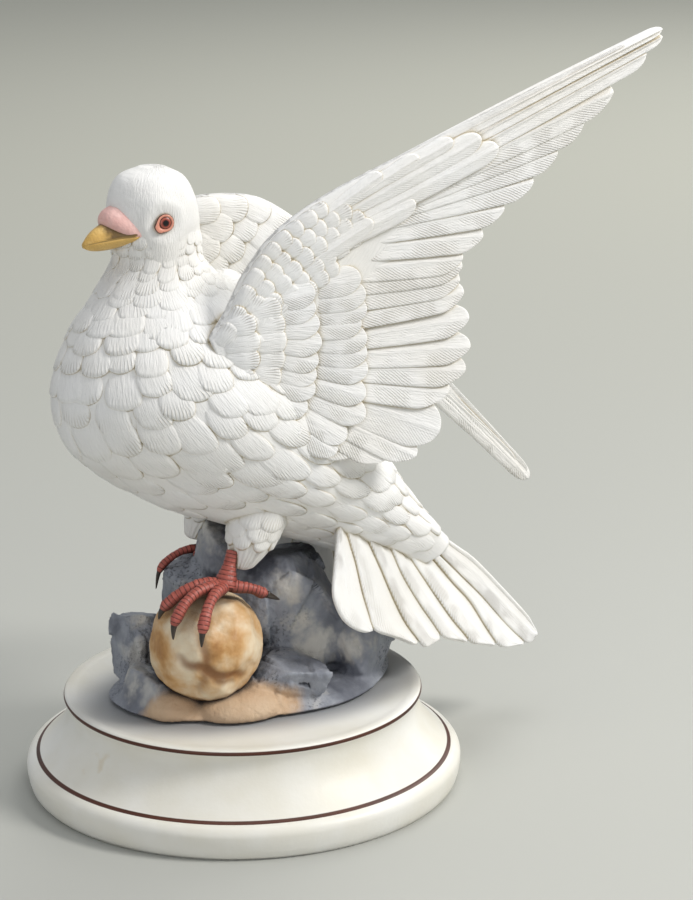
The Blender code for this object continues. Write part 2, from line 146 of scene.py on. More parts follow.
def weld(piece, distance):
    onlySelect(piece)
    bpy.ops.object.mode_set(mode="EDIT")
    bpy.ops.mesh.select_all(action="SELECT")
    bpy.ops.mesh.remove_doubles(threshold=distance)
    bpy.ops.mesh.normals_make_consistent(inside=False)
    bpy.ops.object.mode_set(mode="OBJECT")
    bpy.ops.object.shade_smooth()


def wrapGrid(name, around, along, place, guides=None):
    # a grid rolled into a closed form: place gives the points for an angle and a share along
    piece = addGrid(name, around, along)
    co = readPoints(piece)
    angle = (co[:, 0] + 1) * math.pi
    share = (co[:, 1] + 1) / 2
    points = place(angle, share)
    for end in (0.0, 1.0):
        row = np.abs(share - end) < 1e-5
        points[row] = points[row].mean(axis=0)
    writePoints(piece, toMetres(points))
    flow = np.stack((angle * 12.0, share * 100.0, angle * 0), axis=1) if guides is None \
        else guides(angle, share)
    writeGuide(piece, "flow", flow)
    weld(piece, 0.000002)
    return piece


def joinPieces(name, pieces):
    # the first piece's name is replaced, in the object and in its mesh
    onlySelect(*pieces)
    bpy.ops.object.join()
    piece = bpy.context.object
    piece.name = name
    piece.data.name = name
    return piece


def dress(piece, material, slotName, *nodes):
    # finished piece: its material, its body, and the CAD nodes it stands for; slotName is not
    # used
    piece.data.materials.clear()
    piece.data.materials.append(material)
    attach(piece, "root")
    if nodes:
        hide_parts(*nodes)


# camera, floor and light
view = {
    "spot": (0.9281, -0.4328, 0.4317),
    "target": (-0.0105, 0.0547, 0.1294),
    "lens": 105.52,
    "roll": 0.504,
}
studio = {
    # each light's place, what it looks at, its size in metres, watts and colour
    "keyLight": ((0.70, 0.75, 1.00), (0.0, 0.03, 0.15), 0.40, 13.0, "#FFFCF8"),
    "topLight": ((0.0, 0.1, 1.4), (0.0, 0.03, 0.15), 0.9, 3.5, "#FFFFFF"),
    "fillLight": ((0.9, -0.75, 0.45), (0.0, 0.03, 0.15), 0.7, 2.2, "#F6F7FF"),
    "backLight": ((-1.2, 1.6, 1.6), (-0.6, 0.8, 0.0), 1.6, 24, "#FFFEFA"),
}
backdrop = {"near": "#B4B5B0", "far": "#BFBFB5", "cloud": "#B3B3A6",
            "sky": "#DCDFE2", "skyStrength": 0.54}


def makeCamera():
    lens = bpy.data.cameras.new("camera")
    lens.lens = view["lens"]
    lens.sensor_width = 36
    camera = bpy.data.objects.new("camera", lens)
    bpy.context.scene.collection.objects.link(camera)
    aim = Vector(view["target"]) - Vector(view["spot"])
    turn = aim.to_track_quat("-Z", "Y").to_matrix().to_4x4()
    camera.matrix_world = (Matrix.Translation(view["spot"]) @ turn
                           @ Matrix.Rotation(math.radians(-view["roll"]), 4, "Z"))
    bpy.context.scene.camera = camera


def makeFloor():
    # studio sweep: light grey round the object, greyer and greener far away; the change of tone
    # with distance is painted light and shade that stands in for the lamps' fall-off
    bpy.ops.mesh.primitive_grid_add(x_subdivisions=8, y_subdivisions=8, size=14)
    floor = bpy.context.object
    floor.name = "floor"
    material, tree, shader = startMaterial("studioSweep", {"Roughness": 0.9,
                                                            "Specular IOR Level": 0.1})
    coords = addNode(tree, "TexCoord")
    # painted shading: the tone goes from the near colour to the far one with distance from the
    # object
    away = addNode(tree, "VectorMath", {0: coords.outputs["Object"]}, operation="LENGTH")
    far = addNode(tree, "MapRange", {0: away.outputs["Value"], 1: 0.15, 2: 1.6},
                  interpolation_type="SMOOTHSTEP")
    cloud = addNode(tree, "TexNoise", {"Vector": coords.outputs["Object"], "Scale": 1.5})
    colour = addNode(tree, "Mix", {0: far.outputs[0], 6: toLinear(backdrop["near"]),
                                   7: toLinear(backdrop["far"])}, data_type="RGBA")
    cloudy = addNode(tree, "Mix", {0: cloud.outputs["Fac"], 6: colour.outputs[2],
                                   7: toLinear(backdrop["cloud"])}, data_type="RGBA")
    soft = addNode(tree, "Mix", {0: 0.12, 6: colour.outputs[2], 7: cloudy.outputs[2]},
                   data_type="RGBA")
    tree.links.new(soft.outputs[2], shader.inputs["Base Color"])
    floor.data.materials.append(material)


def makeLight(name, spot, target, size, watts, colour):
    bulb = bpy.data.lights.new(name, "AREA")
    bulb.shape = "DISK"
    bulb.size = size
    bulb.energy = watts
    bulb.color = toLinear(colour)[:3]
    light = bpy.data.objects.new(name, bulb)
    bpy.context.scene.collection.objects.link(light)
    light.location = spot
    light.rotation_euler = (Vector(target) - Vector(spot)).to_track_quat("-Z", "Y").to_euler()


def makeStudio():
    makeCamera()
    makeFloor()
    for name, light in studio.items():
        makeLight(name, *light)
    world = bpy.data.worlds.new("studio")
    bpy.context.scene.world = world
    world.use_nodes = True
    background = world.node_tree.nodes["Background"]
    background.inputs["Color"].default_value = toLinear(backdrop["sky"])
    background.inputs["Strength"].default_value = backdrop["skyStrength"]
    bpy.context.scene.view_settings.view_transform = "Standard"


makeStudio()
print("camera, floor and lights")


# bird's materials
marks = {
    # rust-coloured specks in the clay: place in metres and radius
    "spots": ((0.0302, -0.0512, 0.1445, 0.0026), (0.0135, -0.0372, 0.2490, 0.0022)),
}


def bisquePorcelain():
    # unglazed slip-cast porcelain: chalk white and matt, cream where the slip stayed thick in
    # the carving and cream as painted shade in the recesses and comb lines, with tooled comb
    # lines about
    # 1 mm apart near the feathers' edges
    material, tree, shader = startMaterial("bisquePorcelain", {
        "Roughness": 0.62, "IOR": 1.5, "Specular IOR Level": 0.35})
    coords = addNode(tree, "TexCoord").outputs["Object"]
    flow = addNode(tree, "Attribute", attribute_name="flow").outputs["Vector"]
    comb = addNode(tree, "Attribute", attribute_name="comb").outputs["Vector"]

    # comb lines: sine across the guide's first number, as deep as its second says
    split = addNode(tree, "SeparateXYZ", {0: comb})
    wobble = addNode(tree, "TexNoise", {"Vector": coords, "Scale": 160.0, "Detail": 1.0})
    bent = addNode(tree, "Math", {0: wobble.outputs["Fac"], 1: 1.1, 2: split.outputs[0]},
                   operation="MULTIPLY_ADD")
    turns = addNode(tree, "Math", {0: bent.outputs[0], 1: 2 * math.pi},
                    operation="MULTIPLY")
    wave = addNode(tree, "Math", {0: turns.outputs[0]}, operation="SINE")
    groove = addNode(tree, "MapRange", {0: wave.outputs[0], 1: -0.2, 2: 1.0, 3: 0.0, 4: 1.0},
                     interpolation_type="SMOOTHSTEP")
    patchy = addNode(tree, "TexNoise", {"Vector": coords, "Scale": 75.0, "Detail": 2.0})
    kept = addNode(tree, "MapRange", {0: patchy.outputs["Fac"], 1: 0.40, 2: 0.60},
                   interpolation_type="SMOOTHSTEP")
    mask = addNode(tree, "Math", {0: kept.outputs[0], 1: split.outputs[1]},
                   operation="MULTIPLY")
    cut = addNode(tree, "Math", {0: groove.outputs[0], 1: mask.outputs[0]},
                  operation="MULTIPLY")

    # brush strokes along the form, 0.6 mm wide and 5 mm long, and a fine sandy tooth
    stretch = addNode(tree, "Mapping", {0: flow, 3: (1.6, 0.2, 1.0)})
    stroke = addNode(tree, "TexNoise", {"Vector": stretch.outputs[0], "Scale": 1.0,
                                        "Detail": 3.0})
    tooth = addNode(tree, "TexNoise", {"Vector": coords, "Scale": 2200.0, "Detail": 1.0})
    swell = addNode(tree, "TexNoise", {"Vector": coords, "Scale": 90.0, "Detail": 2.0})
    deep = addNode(tree, "Math", {0: cut.outputs[0], 1: -0.00034}, operation="MULTIPLY")
    strokes = addNode(tree, "Math", {0: stroke.outputs["Fac"], 1: 0.00042,
                                     2: deep.outputs[0]}, operation="MULTIPLY_ADD")
    toothed = addNode(tree, "Math", {0: tooth.outputs["Fac"], 1: 0.00004,
                                     2: strokes.outputs[0]}, operation="MULTIPLY_ADD")
    height = addNode(tree, "Math", {0: swell.outputs["Fac"], 1: 0.0005,
                                    2: toothed.outputs[0]}, operation="MULTIPLY_ADD")
    bump = addNode(tree, "Bump", {"Strength": 1.0, "Distance": 1.0,
                                  "Height": height.outputs[0]})
    tree.links.new(bump.outputs[0], shader.inputs["Normal"])

    # colour: chalk white, cream in the recesses and comb lines, partly the thick slip's own
    # colour and partly painted shade from the occlusion, faint warm and cool drifts
    drift = addNode(tree, "TexNoise", {"Vector": coords, "Scale": 22.0, "Detail": 3.0})
    drifted = addNode(tree, "MapRange", {0: drift.outputs["Fac"], 1: 0.35, 2: 0.7})
    white = addNode(tree, "Mix", {0: drifted.outputs[0], 6: toLinear("#F1F1F0"),
                                  7: toLinear("#EBE9E4")}, data_type="RGBA")
    # painted shade: occlusion turns the white towards cream where the surface is sheltered, in
    # the recesses and under the feathers' edges
    shelter = addNode(tree, "AmbientOcclusion", {"Distance": 0.0034}, samples=8)
    recessShade = addNode(tree, "MapRange", {0: shelter.outputs["AO"], 1: 0.40, 2: 0.93, 3: 0.9,
                                        4: 0.0}, interpolation_type="SMOOTHSTEP")
    combed = addNode(tree, "Math", {0: cut.outputs[0], 1: 0.3, 2: recessShade.outputs[0]},
                     operation="MULTIPLY_ADD", use_clamp=True)
    colour = addNode(tree, "Mix", {0: combed.outputs[0], 6: white.outputs[2],
                                   7: toLinear("#C2B699")}, data_type="RGBA")
    for x, y, z, size in marks["spots"]:
        away = addNode(tree, "VectorMath", {0: coords, 1: (x, y, z)}, operation="DISTANCE")
        spot = addNode(tree, "MapRange", {0: away.outputs["Value"], 1: size * 0.4, 2: size,
                                          3: 0.85, 4: 0.0}, interpolation_type="SMOOTHSTEP")
        colour = addNode(tree, "Mix", {0: spot.outputs[0], 6: colour.outputs[2],
                                       7: toLinear("#D9903A")}, data_type="RGBA")
    tree.links.new(colour.outputs[2], shader.inputs["Base Color"])
    return material


bisque = bisquePorcelain()


# body and head
# front (or under) edge y and z, back (or upper) edge y and z, half width, from crown to tail
bird = {
    "sections": (
        (-39.0, 258.6, -29.0, 258.4, 5.5), (-47.5, 255.2, -21.5, 254.0, 13.0),
        (-51.5, 249.0, -17.5, 246.0, 16.5), (-53.0, 240.0, -16.0, 238.0, 17.5),
        (-52.0, 230.0, -15.5, 230.0, 16.5), (-51.0, 222.0, -15.0, 222.0, 16.5),
        (-59.0, 210.0, -8.0, 214.0, 20.0), (-69.0, 196.0, 4.0, 203.0, 28.0),
        (-76.0, 180.0, 16.0, 190.0, 36.0), (-77.0, 164.0, 28.0, 176.0, 41.0),
        (-69.0, 146.0, 40.0, 162.0, 42.0), (-49.0, 130.0, 52.0, 147.0, 39.5),
        (-22.0, 116.0, 62.0, 133.0, 36.0), (6.0, 106.0, 70.0, 121.0, 30.5),
        (32.0, 96.0, 78.0, 109.0, 25.0), (53.0, 86.0, 87.0, 99.0, 20.0),
        (68.0, 78.0, 96.0, 89.0, 14.0)),
    "headTurn": 9.0, "turnFrom": 214.0, "turnTo": 236.0, "neckAxisY": -34.0,
    "keelTaper": 0.20,
    "around": 224, "along": 300,
    "eye": (17.0, -39.6, 239.4), "eyeAxis": (0.965, -0.26, 0.06),
    # head's middle, and cheek and brow: place, how proud and how wide
    "headMiddle": (0.0, -35.0, 238.0),
    "cheeks": (((15.0, -38.0, 228.5), 1.3, 7.0), ((14.0, -42.0, 248.5), 0.8, 6.0)),
}


def turnWithHead(points):
    # the head looks a little to the dove's left, and the neck follows it
    angle = math.radians(bird["headTurn"]) * ease(bird["turnFrom"], bird["turnTo"],
                                                  points[:, 2])
    x = points[:, 0]
    y = points[:, 1] - bird["neckAxisY"]
    return np.stack((x * np.cos(angle) - y * np.sin(angle),
                     x * np.sin(angle) + y * np.cos(angle) + bird["neckAxisY"],
                     points[:, 2]), axis=1)


def bodyPoint(section, angle, lift=0.0):
    # angle 0 is the back's middle, pi the breast's, and the left side lies between
    section = np.atleast_1d(np.asarray(section, float))
    angle = np.asarray(angle, float) + section * 0
    fy, fz, by, bz, half = through(bird["sections"], section / 16).T
    reach = np.hypot(by - fy, bz - fz) / 2
    keel = 1 + bird["keelTaper"] * np.clip((section - 6) / 3, 0, 1) * np.cos(angle)
    across = (half + lift) * np.sin(angle) * keel
    along = (reach + lift) / reach * np.cos(angle)
    return turnWithHead(np.stack((across, (fy + by) / 2 + (by - fy) / 2 * along,
                                  (fz + bz) / 2 + (bz - fz) / 2 * along), axis=1))


def sculptHead(points):
    # cheek, brow and the shallow dish round each eye
    out = points - turnWithHead(np.array([bird["headMiddle"]]))[0]
    out /= np.maximum(np.linalg.norm(out, axis=1), 1e-6)[:, None]
    for side in (1.0, -1.0):
        eye = turnWithHead(np.array([[bird["eye"][0] * side, *bird["eye"][1:]]]))[0]
        away = np.linalg.norm(points - eye, axis=1)
        points = points - out * (0.9 * np.exp(-(away / 5.0) ** 2))[:, None]
        points = points + out * (0.5 * np.exp(-((away - 7.5) / 2.2) ** 2))[:, None]
        for spot, lift, size in bird["cheeks"]:
            cheek = turnWithHead(np.array([[spot[0] * side, *spot[1:]]]))[0]
            near = np.linalg.norm(points - cheek, axis=1)
            points = points + out * (lift * np.exp(-(near / size) ** 2))[:, None]
    return points


def bodySection(share):
    # closer rings towards the head, where the form turns faster
    return 16 * share ** 1.12


def swollen(section, angle, lift):
    # the muscles under the feathers swell and sink a little
    plain = bodyPoint(section, angle)
    swell = np.array([noise.noise(Vector(p)) for p in plain / 17.0])
    return bodyPoint(section, angle, lift + 0.9 * swell * ease(5, 7, section))


def placeBody(angle, share):
    return sculptHead(swollen(bodySection(share), angle, -0.2))


def bodyGuide(angle, share):
    section = bodySection(share)
    return np.stack((np.sin(angle / 2) * 76.0, section * 13.0, angle * 0), axis=1)


def makeBody():
    return wrapGrid("body", bird["around"], bird["along"], placeBody, bodyGuide)


# feathers: one blank, bent to its place for each feather
blade = {"columns": 8, "rows": 14, "levels": 1}
scaleBlank = {"columns": 10, "rows": 10}


def makeBlade():
    # a strip with a wall of 1 under it, its rim rounded by one subdivision
    blank = addGrid("bladeBlank", blade["columns"], blade["rows"])
    co = readPoints(blank)
    co[:, 1] = 1 - (1 - (co[:, 1] + 1) / 2) ** 1.45
    writePoints(blank, co)
    applyModifier(blank, "SOLIDIFY", thickness=1.0, offset=-1.0)
    applyModifier(blank, "SUBSURF", levels=blade["levels"], render_levels=blade["levels"])
    bpy.ops.object.shade_smooth()
    return blank


def makeScaleBlank():
    # a low scale: an open dome closed underneath by one face
    blank = addGrid("scaleBlank", scaleBlank["columns"], scaleBlank["rows"])
    co = readPoints(blank)
    edge = np.maximum(np.abs(co[:, 0]), np.abs(co[:, 1])) > 0.999
    co[:, 1] = (co[:, 1] + 1) / 2
    co[:, 2] = np.where(edge, -1.0, 0.0)
    writePoints(blank, co)
    onlySelect(blank)
    bpy.ops.object.mode_set(mode="EDIT")
    bpy.ops.mesh.select_all(action="DESELECT")
    bpy.ops.mesh.select_non_manifold()
    bpy.ops.mesh.edge_face_add()
    bpy.ops.mesh.select_all(action="SELECT")
    bpy.ops.mesh.normals_make_consistent(inside=False)
    bpy.ops.object.mode_set(mode="OBJECT")
    bpy.ops.object.shade_smooth()
    return blank


def copyOf(blank, name):
    made = blank.copy()
    made.data = blank.data.copy()
    made.name = name
    bpy.context.scene.collection.objects.link(made)
    return made


def feather(blank, place, width, length, look):
    # look: thick, tilt (trailing edge proud), camber, ridge (shaft), rise (tip proud), sink
    # (root buried), skew (tip drawn to the leading side), rim (raised outer edge), round
    # (length of the rounded end), root (its narrower share), loose (each lies its own way)
    made = copyOf(blank, "feather")
    co = readPoints(made)
    u, v, wall = co.T
    cap = min(look.get("round", 1.0) * width / 2 / length, 0.9)
    s = np.clip((v - (1 - cap)) / cap, 0, 1)
    x = u * np.sqrt(1 - s * s / 2)
    y = np.where(s > 0, 1 - cap + cap * s * np.sqrt(1 - u * u / 2), v)
    x = x * (look.get("root", 0.8) + (1 - look.get("root", 0.8)) * ease(0, 0.7, v))
    skew = look.get("skew", 0.0)
    x = x - skew * s * s * (1 + x) / 2
    lift = (look["tilt"] * x + look["camber"] * (1 - x * x) + look["rise"] * y
            + look["ridge"] * np.exp(-(x / 0.13) ** 2) * (1 + wall) + look["thick"] * wall)
    lift = lift + look.get("rim", 0.0) * np.clip(u * u + (s * v) ** 2, 0, 1) ** 3 * (1 + wall)
    lift = lift - look.get("sink", 0.0) * (1 - ease(0.0, 0.6, y)) + chance.uniform(
        0, look.get("loose", 0.0))
    writePoints(made, toMetres(place(x, y, lift)))
    tone = chance.random()
    writeGuide(made, "flow", np.stack((x * width / 2 + tone * 40, y * length, x * 0 + tone),
                                      axis=1))
    pitch = look.get("pitch", 1.5)
    if look.get("fan"):
        # comb lines fan out from behind the root and show on the outer third
        angle = np.arctan2(x * width / 2, (y + 0.35) * length)
        phase = angle * 1.2 * length
        mask = ease(0.5, 0.85, y + 0.12 * x * x) * look.get("combed", 1.0)
    else:
        # barbs run outwards and towards the tip, and show most near the trailing edge
        phase = y * length - np.abs(x) * width * look.get("slant", 0.75)
        mask = (ease(-0.1, 0.5, x) + 0.25 * ease(0.1, 0.7, -x)) * look.get("combed", 1.0)
    writeGuide(made, "comb", np.stack((phase / pitch, mask * (0.5 + 0.5 * tone), x * 0),
                                      axis=1))
    return made


bladeBlank = makeBlade()
domeBlank = makeScaleBlank()

plumage = {
    # section where each row starts, scale width and length in mm
    "rows": ((3.75, 6.5, 7.0), (4.1, 7.0, 7.5), (4.45, 7.5, 8.5), (4.8, 8.2, 9.5),
             (5.15, 9.0, 10.5), (5.5, 9.8, 11.5), (5.88, 10.8, 13.0), (6.3, 11.8, 14.5),
             (6.75, 12.8, 15.5), (7.25, 13.8, 17.0), (7.8, 15.0, 18.5), (8.4, 16.2, 19.5),
             (9.0, 17.2, 20.5), (9.65, 17.8, 21.5), (10.3, 18.0, 22.5), (10.95, 18.0, 23.0),
             (11.65, 17.5, 23.0), (12.35, 16.5, 23.0), (13.05, 15.5, 22.0), (13.7, 14.0, 21.0),
             (14.35, 13.0, 19.5)),
    "look": {"thick": 1.3, "tilt": 0.0, "camber": 0.45, "ridge": 0.0, "rise": 0.35,
             "round": 1.35, "root": 0.75, "fan": True, "sink": 1.0, "loose": 0.35,
             "rim": 0.16, "pitch": 1.25, "combed": 0.9},
    "neckLook": {"thick": 0.7, "tilt": 0.0, "camber": 0.2, "ridge": 0.0, "rise": 0.2,
                 "round": 1.3, "root": 0.75, "fan": True, "sink": 0.6, "loose": 0.25,
                 "rim": 0.08, "pitch": 0.9, "combed": 0.8},
}


def bodyScale(section, angle, width, length, twist, look):
    here = bodyPoint(section, angle)[0]
    perSection = np.linalg.norm(bodyPoint(section + 0.05, angle)[0] - here) / 0.05
    perAngle = np.linalg.norm(bodyPoint(section, angle + 0.02)[0] - here) / 0.02

    def place(x, y, lift):
        across = x * width / 2 + twist * y * length
        along = y * length - twist * x * width / 2
        return swollen(section + along / perSection, angle + across / perAngle, lift)

    return feather(domeBlank, place, width, length, look)


def makePlumage():
    scales = []
    for row, (start, width, length) in enumerate(plumage["rows"]):
        ring = bodyPoint(np.full(72, start), np.linspace(0, 2 * math.pi, 72))
        girth = np.linalg.norm(np.diff(ring, axis=0), axis=1)
        run = np.concatenate(([0], np.cumsum(girth)))
        count = max(int(round(run[-1] / (width * 0.80))), 6)
        look = plumage["look"] if row > 6 else plumage["neckLook"]
        for i in range(count):
            where = ((i + 0.5 * (row % 2) + chance.uniform(-0.2, 0.2)) / count) % 1.0
            angle = np.interp(where * run[-1], run, np.linspace(0, 2 * math.pi, 72))
            size = chance.uniform(0.88, 1.15)
            scales.append(bodyScale(start + chance.uniform(-0.1, 0.1) - 0.25, angle,
                                    width * size, length * size,
                                    chance.uniform(-0.16, 0.16), look))
    return joinPieces("plumage", scales)


# wings: rows of feathers drawn in each wing's own plane in mm, p out along it and q up
nearWing = {
    "shoulder": (36.0, -15.0, 196.0), "span": (0.129, 0.92, 0.371),
    "rise": (-0.064, -0.366, 0.929), "bow": 0.0011,
    # p, top edge q, bottom edge q, thickness
    "core": ((-12.0, 4.0, -24.0, 9.0), (-2.0, 10.0, -42.0, 12.0), (12.0, 22.0, -53.0, 11.0),
             (28.0, 31.0, -50.0, 9.5), (50.0, 35.5, -22.0, 8.0), (76.0, 36.5, 2.0, 6.5),
             (104.0, 36.8, 15.0, 5.0), (142.0, 37.2, 24.0, 3.6), (190.0, 37.2, 33.0, 2.4)),
    # lower edge from p, q to p, q, then the width
    "flight": ((60, 29, 204.3, 34.2, 7), (60, 24, 203.4, 30.6, 8), (62, 18, 195, 25.2, 11),
               (66, 15, 177, 14.8, 13), (66, 14.5, 161, 8.6, 13), (64, 14, 146, 2.2, 13),
               (60, 13, 132, -4.2, 13), (50, 11.5, 116.5, -8.8, 13), (40, 9.5, 104, -14.8, 13),
               (36, 2.5, 93, -19.4, 13), (36, -4, 91.8, -22.4, 13), (34, -10, 89, -27.0, 13),
               (32, -17.5, 89, -32.4, 13), (32, -25.5, 86.5, -43.4, 14),
               (30, -32, 82, -54, 14), (28, -36, 75.5, -62, 15), (22, -40, 65, -67, 16),
               (16, -44, 51.5, -80.5, 22), (12, -46, 41, -82, 14), (8, -48, 29.5, -77, 13),
               (0, -50, 21.5, -70, 13)),
    # how much the first quills narrow, which feathers stand proud, and the broad lowest one
    "taper": (0.5, 0.4, 0.2), "proud": (12, 16), "broad": 17,
    # tips of each row of coverts, and the line their roots lie on; p, q from the top down
    "greater": ((52.9, -0.3), (52.4, -7.1), (50.5, -13.1), (46.3, -17.4), (46.0, -24.1),
                (43.8, -29.5), (41.4, -36.0), (36.5, -44.7), (33.0, -52.5), (22.0, -57.0),
                (16.5, -60.0)),
    "greaterRoots": ((28.0, 6.0), (24.0, -6.0), (21.0, -18.0), (14.0, -28.0), (4.0, -38.0)),
    "median": ((33.7, 3.2), (31.5, -2.6), (30.5, -9.4), (28.2, -17.0), (24.0, -23.5),
               (21.0, -28.5), (18.3, -33.5), (12.5, -38.5), (6.0, -46.0)),
    "medianRoots": ((12.0, 9.0), (9.0, 0.0), (6.0, -9.0), (1.0, -18.0), (-6.0, -28.0)),
    "lesser": ((20.0, 4.0), (19.0, -3.0), (17.0, -9.5), (13.5, -16.5), (9.0, -23.0),
               (4.0, -29.0), (-2.0, -36.0)),
    "lesserRoots": ((2.0, 8.0), (0.0, 0.0), (-3.0, -8.0), (-8.0, -15.0), (-14.0, -24.0)),
    "small": ((8.0, 3.0), (7.0, -4.0), (4.0, -11.0), (-1.0, -18.0), (-7.0, -25.0)),
    "smallRoots": ((-6.0, 6.0), (-9.0, -2.0), (-12.0, -9.0), (-17.0, -16.0)),
    # rows of small scales over the arm: from p to p, how far below the top edge, size
    "arm": ((-5, 52, 3.4, 8.5), (-3, 60, 9.0, 9.0), (0, 62, 14.8, 9.5),
            (8, 58, 20.6, 9.5), (18, 46, 26.0, 9.0)),
    # long narrow coverts along the leading edge, as the flight feathers are given
    "edge": ((30, 22.5, 76, 31.2, 6.0), (40, 24.5, 92, 30.9, 6.0), (46, 26.5, 107, 30.4, 6.5),
             (46, 20.5, 118.2, 24.8, 9.5), (42, 14.5, 123.5, 18.2, 10.0),
             (34, 11.5, 84.2, 12.6, 10.0), (26, 8.5, 66.0, 14.0, 9.0)),
}
farWing = {
    "shoulder": (-44.0, 20.0, 200.0), "span": (0.05, 0.708, -0.704),
    "rise": (0.0, 0.704, 0.708), "bow": 0.0006,
    "core": ((-40.0, 8.0, -22.0, 9.0), (-32.0, 19.0, -36.0, 12.0), (-16.0, 31.5, -38.0, 11.0),
             (4.0, 36.5, -30.0, 9.5), (30.0, 38.0, -10.0, 8.0), (60.0, 36.5, 8.0, 7.0),
             (95.0, 32.0, 18.0, 6.0), (130.0, 28.0, 20.0, 4.0), (164.0, 24.5, 20.5, 2.0)),
    # root p, q, tip p, q and width
    "flight": ((66, 30.5, 172.3, 23.8, 8.0), (64, 26.5, 164, 23.6, 7.5),
               (60, 22.5, 148, 24.0, 7.0), (54, 17, 112, 18, 12), (48, 12, 104, 10, 14),
               (42, 6, 95, 1, 15), (35, 0, 85, -9, 16), (27, -6, 73, -19, 16),
               (18, -11, 60, -27, 16), (8, -16, 46, -34, 16)),
    # rows of scales: from p to p, how far below the top edge, size
    "scales": ((-33, 88, 5.0, 13.5), (-33, 74, 14.0, 14.0), (-32, 60, 23.5, 14.0),
               (-31, 48, 33.0, 14.0), (-30, 38, 42.5, 14.0), (-29, 26, 52.0, 14.0),
               (-28, 12, 61.0, 13.5)),
    "knobs": (((-37.0, -4.0, 195.0), (10.0, 11.0, 14.0)),
              ((-22.0, 5.4, 201.5), (9.5, 9.6, 8.2))),
}
looks = {
    "flight": {"thick": 1.6, "tilt": 1.25, "camber": 0.35, "ridge": 0.35, "rise": 0.2,
               "round": 1.8, "root": 0.85, "skew": 0.28, "pitch": 1.7, "combed": 1.35},
    "quill": {"tilt": 1.5, "camber": 0.35, "ridge": 1.2, "round": 1.7, "skew": 0.12,
              "combed": 0.3},
    "edge": {"thick": 2.3, "tilt": 0.6, "camber": 1.0, "ridge": 0.4, "rise": 0.8,
             "round": 1.7, "root": 0.6, "skew": 0.12, "sink": 1.4, "combed": 0.3},
    "covert": {"thick": 2.0, "tilt": 0.9, "camber": 0.8, "ridge": 0.15, "rise": 1.4,
               "round": 1.3, "root": 0.75, "skew": 0.15, "sink": 1.8, "combed": 1.2,
               "pitch": 1.5, "loose": 0.4},
    "scale": {"thick": 1.5, "tilt": 0.1, "camber": 0.8, "ridge": 0.0, "rise": 1.2,
              "round": 1.3, "root": 0.75, "fan": True, "sink": 2.0, "rim": 0.16,
              "loose": 0.3, "combed": 1.0, "pitch": 1.1},
    "tail": {"thick": 2.2, "tilt": 0.95, "camber": 0.5, "ridge": 0.25, "rise": 0.0,
             "round": 1.7, "root": 1.0, "combed": 1.4, "pitch": 1.6, "slant": 0.9},
}


def wingAxes(wing):
    span = unitVector(wing["span"])
    rise = np.asarray(wing["rise"], float)
    rise = unitVector(rise - span * np.dot(span, rise))
    face = unitVector(np.cross(span, rise))
    return span, rise, face if face[0] > 0 else -face


def onWing(wing, p, q, lift):
    # p runs out along the wing and q up to its leading edge; the wing is a little hollow
    span, rise, face = wingAxes(wing)
    hollow = wing["bow"] * (q - 38) * (q + 81)
    return (np.asarray(wing["shoulder"]) + span * p[:, None] + rise * q[:, None]
            + face * (lift + hollow)[:, None])


def coreAt(wing, p):
    # top edge, bottom edge and thickness of the arm and web at p
    fine = through(wing["core"], np.linspace(0, 1, 200))
    return [np.interp(p, fine[:, 0], fine[:, k]) for k in (1, 2, 3)]


def coreSwell(wing, p, q):
    # half the thickness at p, q
    top, bottom, thick = coreAt(wing, p)
    down = np.clip((top - q) / (top - bottom), 0, 1)
    around = np.sqrt(np.clip(1 - (1 - 2 * down) ** 2, 0, 1))
    return thick / 2 * around ** 0.6 * (1.12 - 0.98 * down)


def makeCore(name, wing):
    # the arm and the web that carry the feathers
    def place(angle, share):
        p, top, bottom, thick = through(wing["core"], share).T
        down = (1 - np.cos(angle)) / 2
        swell = np.sign(np.sin(angle)) * np.abs(np.sin(angle)) ** 0.6 * (1.12 - 0.98 * down)
        return onWing(wing, p, top + (bottom - top) * down, thick / 2 * swell)

    return wrapGrid(name, 48, 90, place)


def edgeFeather(wing, start, end, width, lift, look, side=1.0, taper=0.0):
    # a feather by its lower edge: start and end are p, q, and the blade lies above the line
    start = np.asarray(start, float)
    end = np.asarray(end, float)
    along = unitVector(end - start)
    length = np.linalg.norm(end - start)
    up = np.array((-along[1], along[0]))
    if up[1] < 0:
        up = -up

    def place(x, y, h):
        wide = width * (1 - taper * y ** 2)
        spot = start + (end - start) * y[:, None] + up * ((1 - x) / 2 * wide)[:, None]
        return onWing(wing, spot[:, 0], spot[:, 1], side * (lift + h))

    return feather(bladeBlank, place, width, length, look)


def midFeather(wing, root, tip, width, lift, look, side=1.0, onCore=False):
    # a feather by its shaft; onCore lays it on the arm's swell
    root = np.asarray(root, float)
    tip = np.asarray(tip, float)
    along = unitVector(tip - root)
    up = np.array((-along[1], along[0]))
    if up[1] < 0:
        up = -up
    blank = domeBlank if look.get("fan") else bladeBlank

    def place(x, y, h):
        spot = root + (tip - root) * y[:, None] - up * (x * width / 2)[:, None]
        p, q = spot.T
        if not onCore:
            return onWing(wing, p, q, side * (lift + h))
        # the scale turns over the edge instead of standing out from it
        top, bottom, _ = coreAt(wing, p)
        over = np.clip(q - (top - 1.2), 0, None)
        h = 0.3 + (lift + h - 0.3) * np.exp(-over / 1.5)
        q = np.clip(np.minimum(q, top - 1.2 + over * 0.25), bottom + 0.5, top)
        return onWing(wing, p, q, side * np.maximum(coreSwell(wing, p, q) + h, 0.05))

    return feather(blank, place, width, np.linalg.norm(tip - root), look)


def rowBetween(wing, roots, tips, count, width, lift, look, side=1.0):
    made = []
    for i in range(count):
        t = i / (count - 1)
        root = through(roots, t)[0]
        tip = through(tips, t)[0]
        made.append(midFeather(wing, root, tip, width[0] + (width[1] - width[0]) * t, lift,
                               look, side))
    return made


